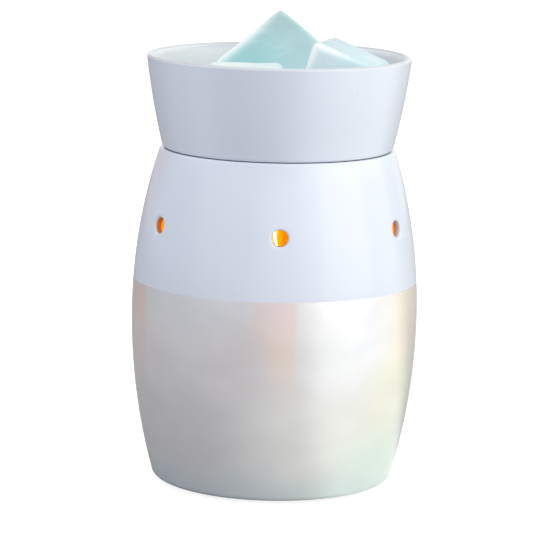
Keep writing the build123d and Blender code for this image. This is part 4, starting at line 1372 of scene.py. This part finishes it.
def aqua_wax():
    """Pale aqua wax, frosted, with a few white flecks, and painted light and shade: paler faces and edges."""
    constants = {
        "IOR": 1.44,
        "Subsurface Weight": 0.5,
        "Subsurface Radius": (0.7, 1.0, 1.0),
        "Subsurface Scale": 0.004,
        "Coat Weight": 0.08,
        "Coat Roughness": 0.3,
    }
    material, bench, shader = finish_of("aqua_wax", constants)
    place = here(bench)
    x, _, z = in_mm(bench)
    waver_scale, waver_height, frost_scale = 70.0, 8.0, 420.0
    streak_scale, streak_stretch, streak_edge = 420.0, (0.3, 1.0, 0.5), (0.52, 0.72)
    streak_share, thin_streaks, cloud_share = 0.1, 0.3, 0.12
    frost_change, pale_edge, pale_share = 0.1, (0.15, 0.85), 0.95
    # Painted light and shade: the colour changes across X and is darker up high
    low = faded(bench, x, WAX_ACROSS, rgb(0.29, 0.65, 0.69), rgb(0.61, 0.86, 0.88))
    high = faded(bench, x, WAX_THIN, rgb(0.328, 0.493, 0.502), rgb(0.43, 0.56, 0.645))
    waver = (cloud(bench, place, waver_scale) - 0.5) * waver_height
    body = faded(bench, z + waver, (DISH_FLOOR_TOP + WAX_DEEP, DISH_TOP + WAX_DEEP), low, high)
    streaks = cloud(bench, stretched(bench, place, streak_stretch), streak_scale, 2.0)
    streaks = ramp(bench, streaks, *streak_edge) * (ramp(bench, x, *WAX_THIN) * thin_streaks + streak_share)
    body = tinted(bench, streaks, body, rgb(0.88, 0.94, 0.96))
    # Painted light: the paleness kept on each block's points, with frost
    edge = bench.made("ShaderNodeAttribute", key="Fac", attribute_name="edge")
    frost = cloud(bench, place, frost_scale, 4.0)
    pale = ramp(bench, edge + (frost - 0.5) * frost_change, *pale_edge)
    body = tinted(bench, pale * pale_share, body, rgb(0.95, 0.985, 1.0))
    inputs = {
        "Colour": body,
        "Cloud": tinted(bench, cloud_share, body, rgb(0.74, 0.88, 0.90)),
        "Speck": rgb(0.93, 0.96, 0.97),
        "Specks": 0.09,
        "Gloss": 0.42,
    }
    dress(bench, shader, fired_glaze, inputs, bump_distance=0.0006, bump_strength=0.35)
    return material


def clear_glass(name, tint, smudge):
    """Clear lamp glass with a faint haze."""
    constants = {"Transmission Weight": 1.0, "IOR": 1.46, "Base Color": rgb(*tint)}
    material, bench, shader = finish_of(name, constants)
    haze_scale, haze_edge = 90.0, (0.5, 0.8)
    haze = ramp(bench, cloud(bench, here(bench), haze_scale, 3.0), *haze_edge) * smudge
    bench.feed(shader.inputs["Roughness"], haze)
    return material


def glowing_coil():
    """Tungsten at work: near white, a little redder at the coil's ends."""
    constants = {
        "Metallic": 1.0,
        "Base Color": rgb(0.5, 0.42, 0.34),
        "Roughness": 0.5,
        "Emission Strength": 9.0,
    }
    material, bench, shader = finish_of("glowing_coil", constants)
    _, _, z = in_mm(bench)
    away = (z - FILAMENT_Z).size()
    heat = faded(bench, away, COIL_COOLING, rgb(1.0, 0.82, 0.5), rgb(1.0, 0.36, 0.08))
    bench.feed(shader.inputs["Emission Color"], heat)
    return material


def metal(name, colour, dull, roughness, fineness):
    """Plated or drawn metal of one colour."""
    material, bench, shader = finish_of(name, {"Metallic": 1.0})
    inputs = {"Colour": rgb(*colour), "Dull": rgb(*dull), "Roughness": roughness, "Fineness": fineness}
    dress(bench, shader, worn_metal, inputs, bump_distance=0.0002, bump_strength=0.12)
    return material


def moulded(name, colour, mottle, roughness, grain, bump):
    """Fired or moulded stuff of one colour."""
    material, bench, shader = finish_of(name, {})
    inputs = {"Colour": rgb(*colour), "Mottle": rgb(*mottle), "Roughness": roughness, "Grain": grain}
    dress(bench, shader, fine_grain, inputs, bump_distance=0.0002, bump_strength=bump)
    return material


def woven_sleeve(name, thread, gap):
    """A braided glass-fibre sleeve: two sets of threads that cross."""
    material, bench, shader = finish_of(name, {"Sheen Weight": 0.25})
    place = here(bench)
    x, y, z = in_mm(bench)
    thread_turn = THREAD_PITCH / (2 * pi)
    one = ((x + y + z) / thread_turn).sine()
    other = ((x - y + z) / thread_turn).sine()
    thread_edge, fuzz_scale, weave_share, fuzz_share = (0.2, 0.95), 2500.0, 0.8, 0.2
    gap_roughness, thread_polish, fuzz_height = 0.95, 0.25, 0.3
    weave = ramp(bench, bench.larger(one, other), *thread_edge)
    fuzz = cloud(bench, place, fuzz_scale, 3.0)
    colour = tinted(bench, weave * weave_share + fuzz * fuzz_share, rgb(*gap), rgb(*thread))
    bench.feed(shader.inputs["Base Color"], colour)
    bench.feed(shader.inputs["Roughness"], gap_roughness - weave * thread_polish)
    roughen(bench, shader, weave + fuzz * fuzz_height, bump_distance=0.0002, bump_strength=0.7)
    return material


# Camera, lamps, walls and floor


def aim_camera():
    """The camera at the photograph's viewing angle."""
    data = bpy.data.cameras.new("camera")
    data.lens = CAMERA_LENS
    data.sensor_width = CAMERA_SENSOR
    data.clip_start = CAMERA_NEAR * MM
    camera = in_scene("camera", data)
    camera.location = mm(*CAMERA_PLACE)
    camera.rotation_euler = Euler([radians(angle) for angle in CAMERA_TURN])
    bpy.context.scene.camera = camera


def softbox(name, place, aim, width, height, watts, colour):
    """A rectangular soft lamp that looks at a point. The camera doesn't see it."""
    data = bpy.data.lights.new(name, "AREA")
    data.shape = "RECTANGLE"
    data.size = width * MM
    data.size_y = height * MM
    data.energy = watts
    data.color = colour
    lamp = in_scene(name, data)
    lamp.location = mm(*place)
    lamp.rotation_euler = (mm(*aim) - mm(*place)).to_track_quat("-Z", "Y").to_euler()
    lamp.visible_camera = False


def studio_wall(name, start, end, colour):
    """An upright stretch of the studio's round wall, by its angles right of the camera."""
    steps = max(2, round((end - start) / WALL_STEP))
    verts, faces = [], []
    for i in range(steps + 1):
        turn = radians(start + (end - start) * i / steps)
        across, along = WALL_RADIUS * sin(turn), -WALL_RADIUS * cos(turn)
        verts += [mm(across, along, WALL_LOW), mm(across, along, WALL_HIGH)]
    for i in range(steps):
        faces.append((2 * i, 2 * i + 1, 2 * i + 3, 2 * i + 2))
    mesh = bpy.data.meshes.new(name)
    mesh.from_pydata(verts, [], faces)
    material = bpy.data.materials.new(name)
    material.use_nodes = True
    material.node_tree.nodes.clear()
    bench = Bench(material.node_tree)
    glow = bench.made("ShaderNodeEmission", {"Color": rgb(*colour), "Strength": 1.0})
    bench.place("ShaderNodeOutputMaterial", {"Surface": glow})
    mesh.materials.append(material)
    wall = in_scene(name, mesh)
    wall.visible_camera = False
    wall.visible_transmission = False
    wall.visible_shadow = False


def ray_kinds(bench):
    """Masks of the rays that show a thing itself, straight or through glass, and of those that mirror it."""
    rays = bench.place("ShaderNodeLightPath")
    shown = bench.larger(bench.out(rays, "Is Camera Ray"), bench.out(rays, "Is Transmission Ray"))
    return shown, bench.out(rays, "Is Glossy Ray")


def white_studio():
    """A world that shows white, and lights the object softly."""
    world = bpy.data.worlds.new("studio")
    world.use_nodes = True
    bench = Bench(world.node_tree)
    shown, mirrored = ray_kinds(bench)
    white = rgb(BACKGROUND, BACKGROUND, BACKGROUND)
    colour = tinted(bench, bench.larger(shown, mirrored), rgb(*AMBIENT), white)
    bench.feed(world.node_tree.nodes["Background"].inputs["Color"], colour)
    bpy.context.scene.world = world


def white_floor():
    """A plain white floor that keeps the object's shadow, and shows the lamps' sheen to glossy things."""
    mesh = bpy.data.meshes.new("floor")
    sides = ((-1, -1), (1, -1), (1, 1), (-1, 1))
    corners = [mm(FLOOR_REACH * across, FLOOR_REACH * along, 0.0) for across, along in sides]
    mesh.from_pydata(corners, [], [(0, 1, 2, 3)])
    material, bench, shader = finish_of("white_floor", {"Roughness": 0.7, "Emission Strength": 1.0})
    x, y, _ = in_mm(bench)
    lift = FLOOR_GLOW + ramp(bench, distance(bench, x, y), *FLOOR_FADE) * (1.0 - FLOOR_GLOW)
    angle = angle_from_front(bench, x, y)
    sheen = rgb(*FLOOR_SHEEN[0][2])
    for edge, soft, tint in FLOOR_SHEEN[1:]:
        sheen = faded(bench, angle, (edge - soft, edge + soft), sheen, rgb(*tint))
    shown, mirrored = ray_kinds(bench)
    glow = tinted(bench, mirrored, rgb(0.0, 0.0, 0.0), sheen)
    glow = tinted(bench, shown, glow, bench.join(lift, lift, lift))
    bench.feed(shader.inputs["Emission Color"], glow)
    grain_scale = 40.0
    grain = cloud(bench, here(bench), grain_scale)
    paint = tinted(bench, grain, rgb(0.29, 0.29, 0.29), rgb(0.31, 0.31, 0.31))
    bench.feed(shader.inputs["Base Color"], paint)
    mesh.materials.append(material)
    floor = in_scene("floor", mesh)


# The scene

bpy.context.scene.view_settings.view_transform = "Standard"
aim_camera()
white_studio()
white_floor()
for lamp in SOFTBOXES:
    softbox(*lamp)
for stretch in STUDIO_WALLS:
    studio_wall(*stretch)

gloss = white_gloss_glaze()
shell_tree = turned_shell_tree()


def add_piece(piece, body, node):
    """A piece that stands for a CAD node, on its body."""
    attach(piece, body)
    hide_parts(node)


add_piece(
    glazed_body(shell_tree, pearl_lustre(), gloss, lit_chamber_wall(), bare_clay()),
    "base",
    "ceramic_body",
)
add_piece(glazed_dish(shell_tree, gloss), "dish", "wax_dish")
wax = aqua_wax()
for spot, *shape in WAX_BLOCKS:
    add_piece(wax_block(f"wax_block_{spot}", *shape, wax), "wax_melts", f"wax_melt_{spot}")
for name, node, slot, wall, tint, smudge in LAMP_GLASSES:
    glass = clear_glass(f"{name}_glass", tint, smudge)
    add_piece(lamp_glass(shell_tree, name, node, wall, glass), "lamp", node)
add_piece(filament_coil(glowing_coil()), "lamp", "bulb_filament")

# Finishes of the pieces whose CAD shape is right
kept = {slot: metal(*look) for slot, *look in METALS}
kept.update({slot: moulded(*look) for slot, *look in MOULDED})
kept.update({slot: woven_sleeve(*look) for slot, *look in SLEEVES})
for subpart in frame["record"]["subparts"]:
    material = kept.get(subpart["material_slot"])
    if material:
        mesh = nodes[subpart["node"]].data
        mesh.materials.clear()
        mesh.materials.append(material)
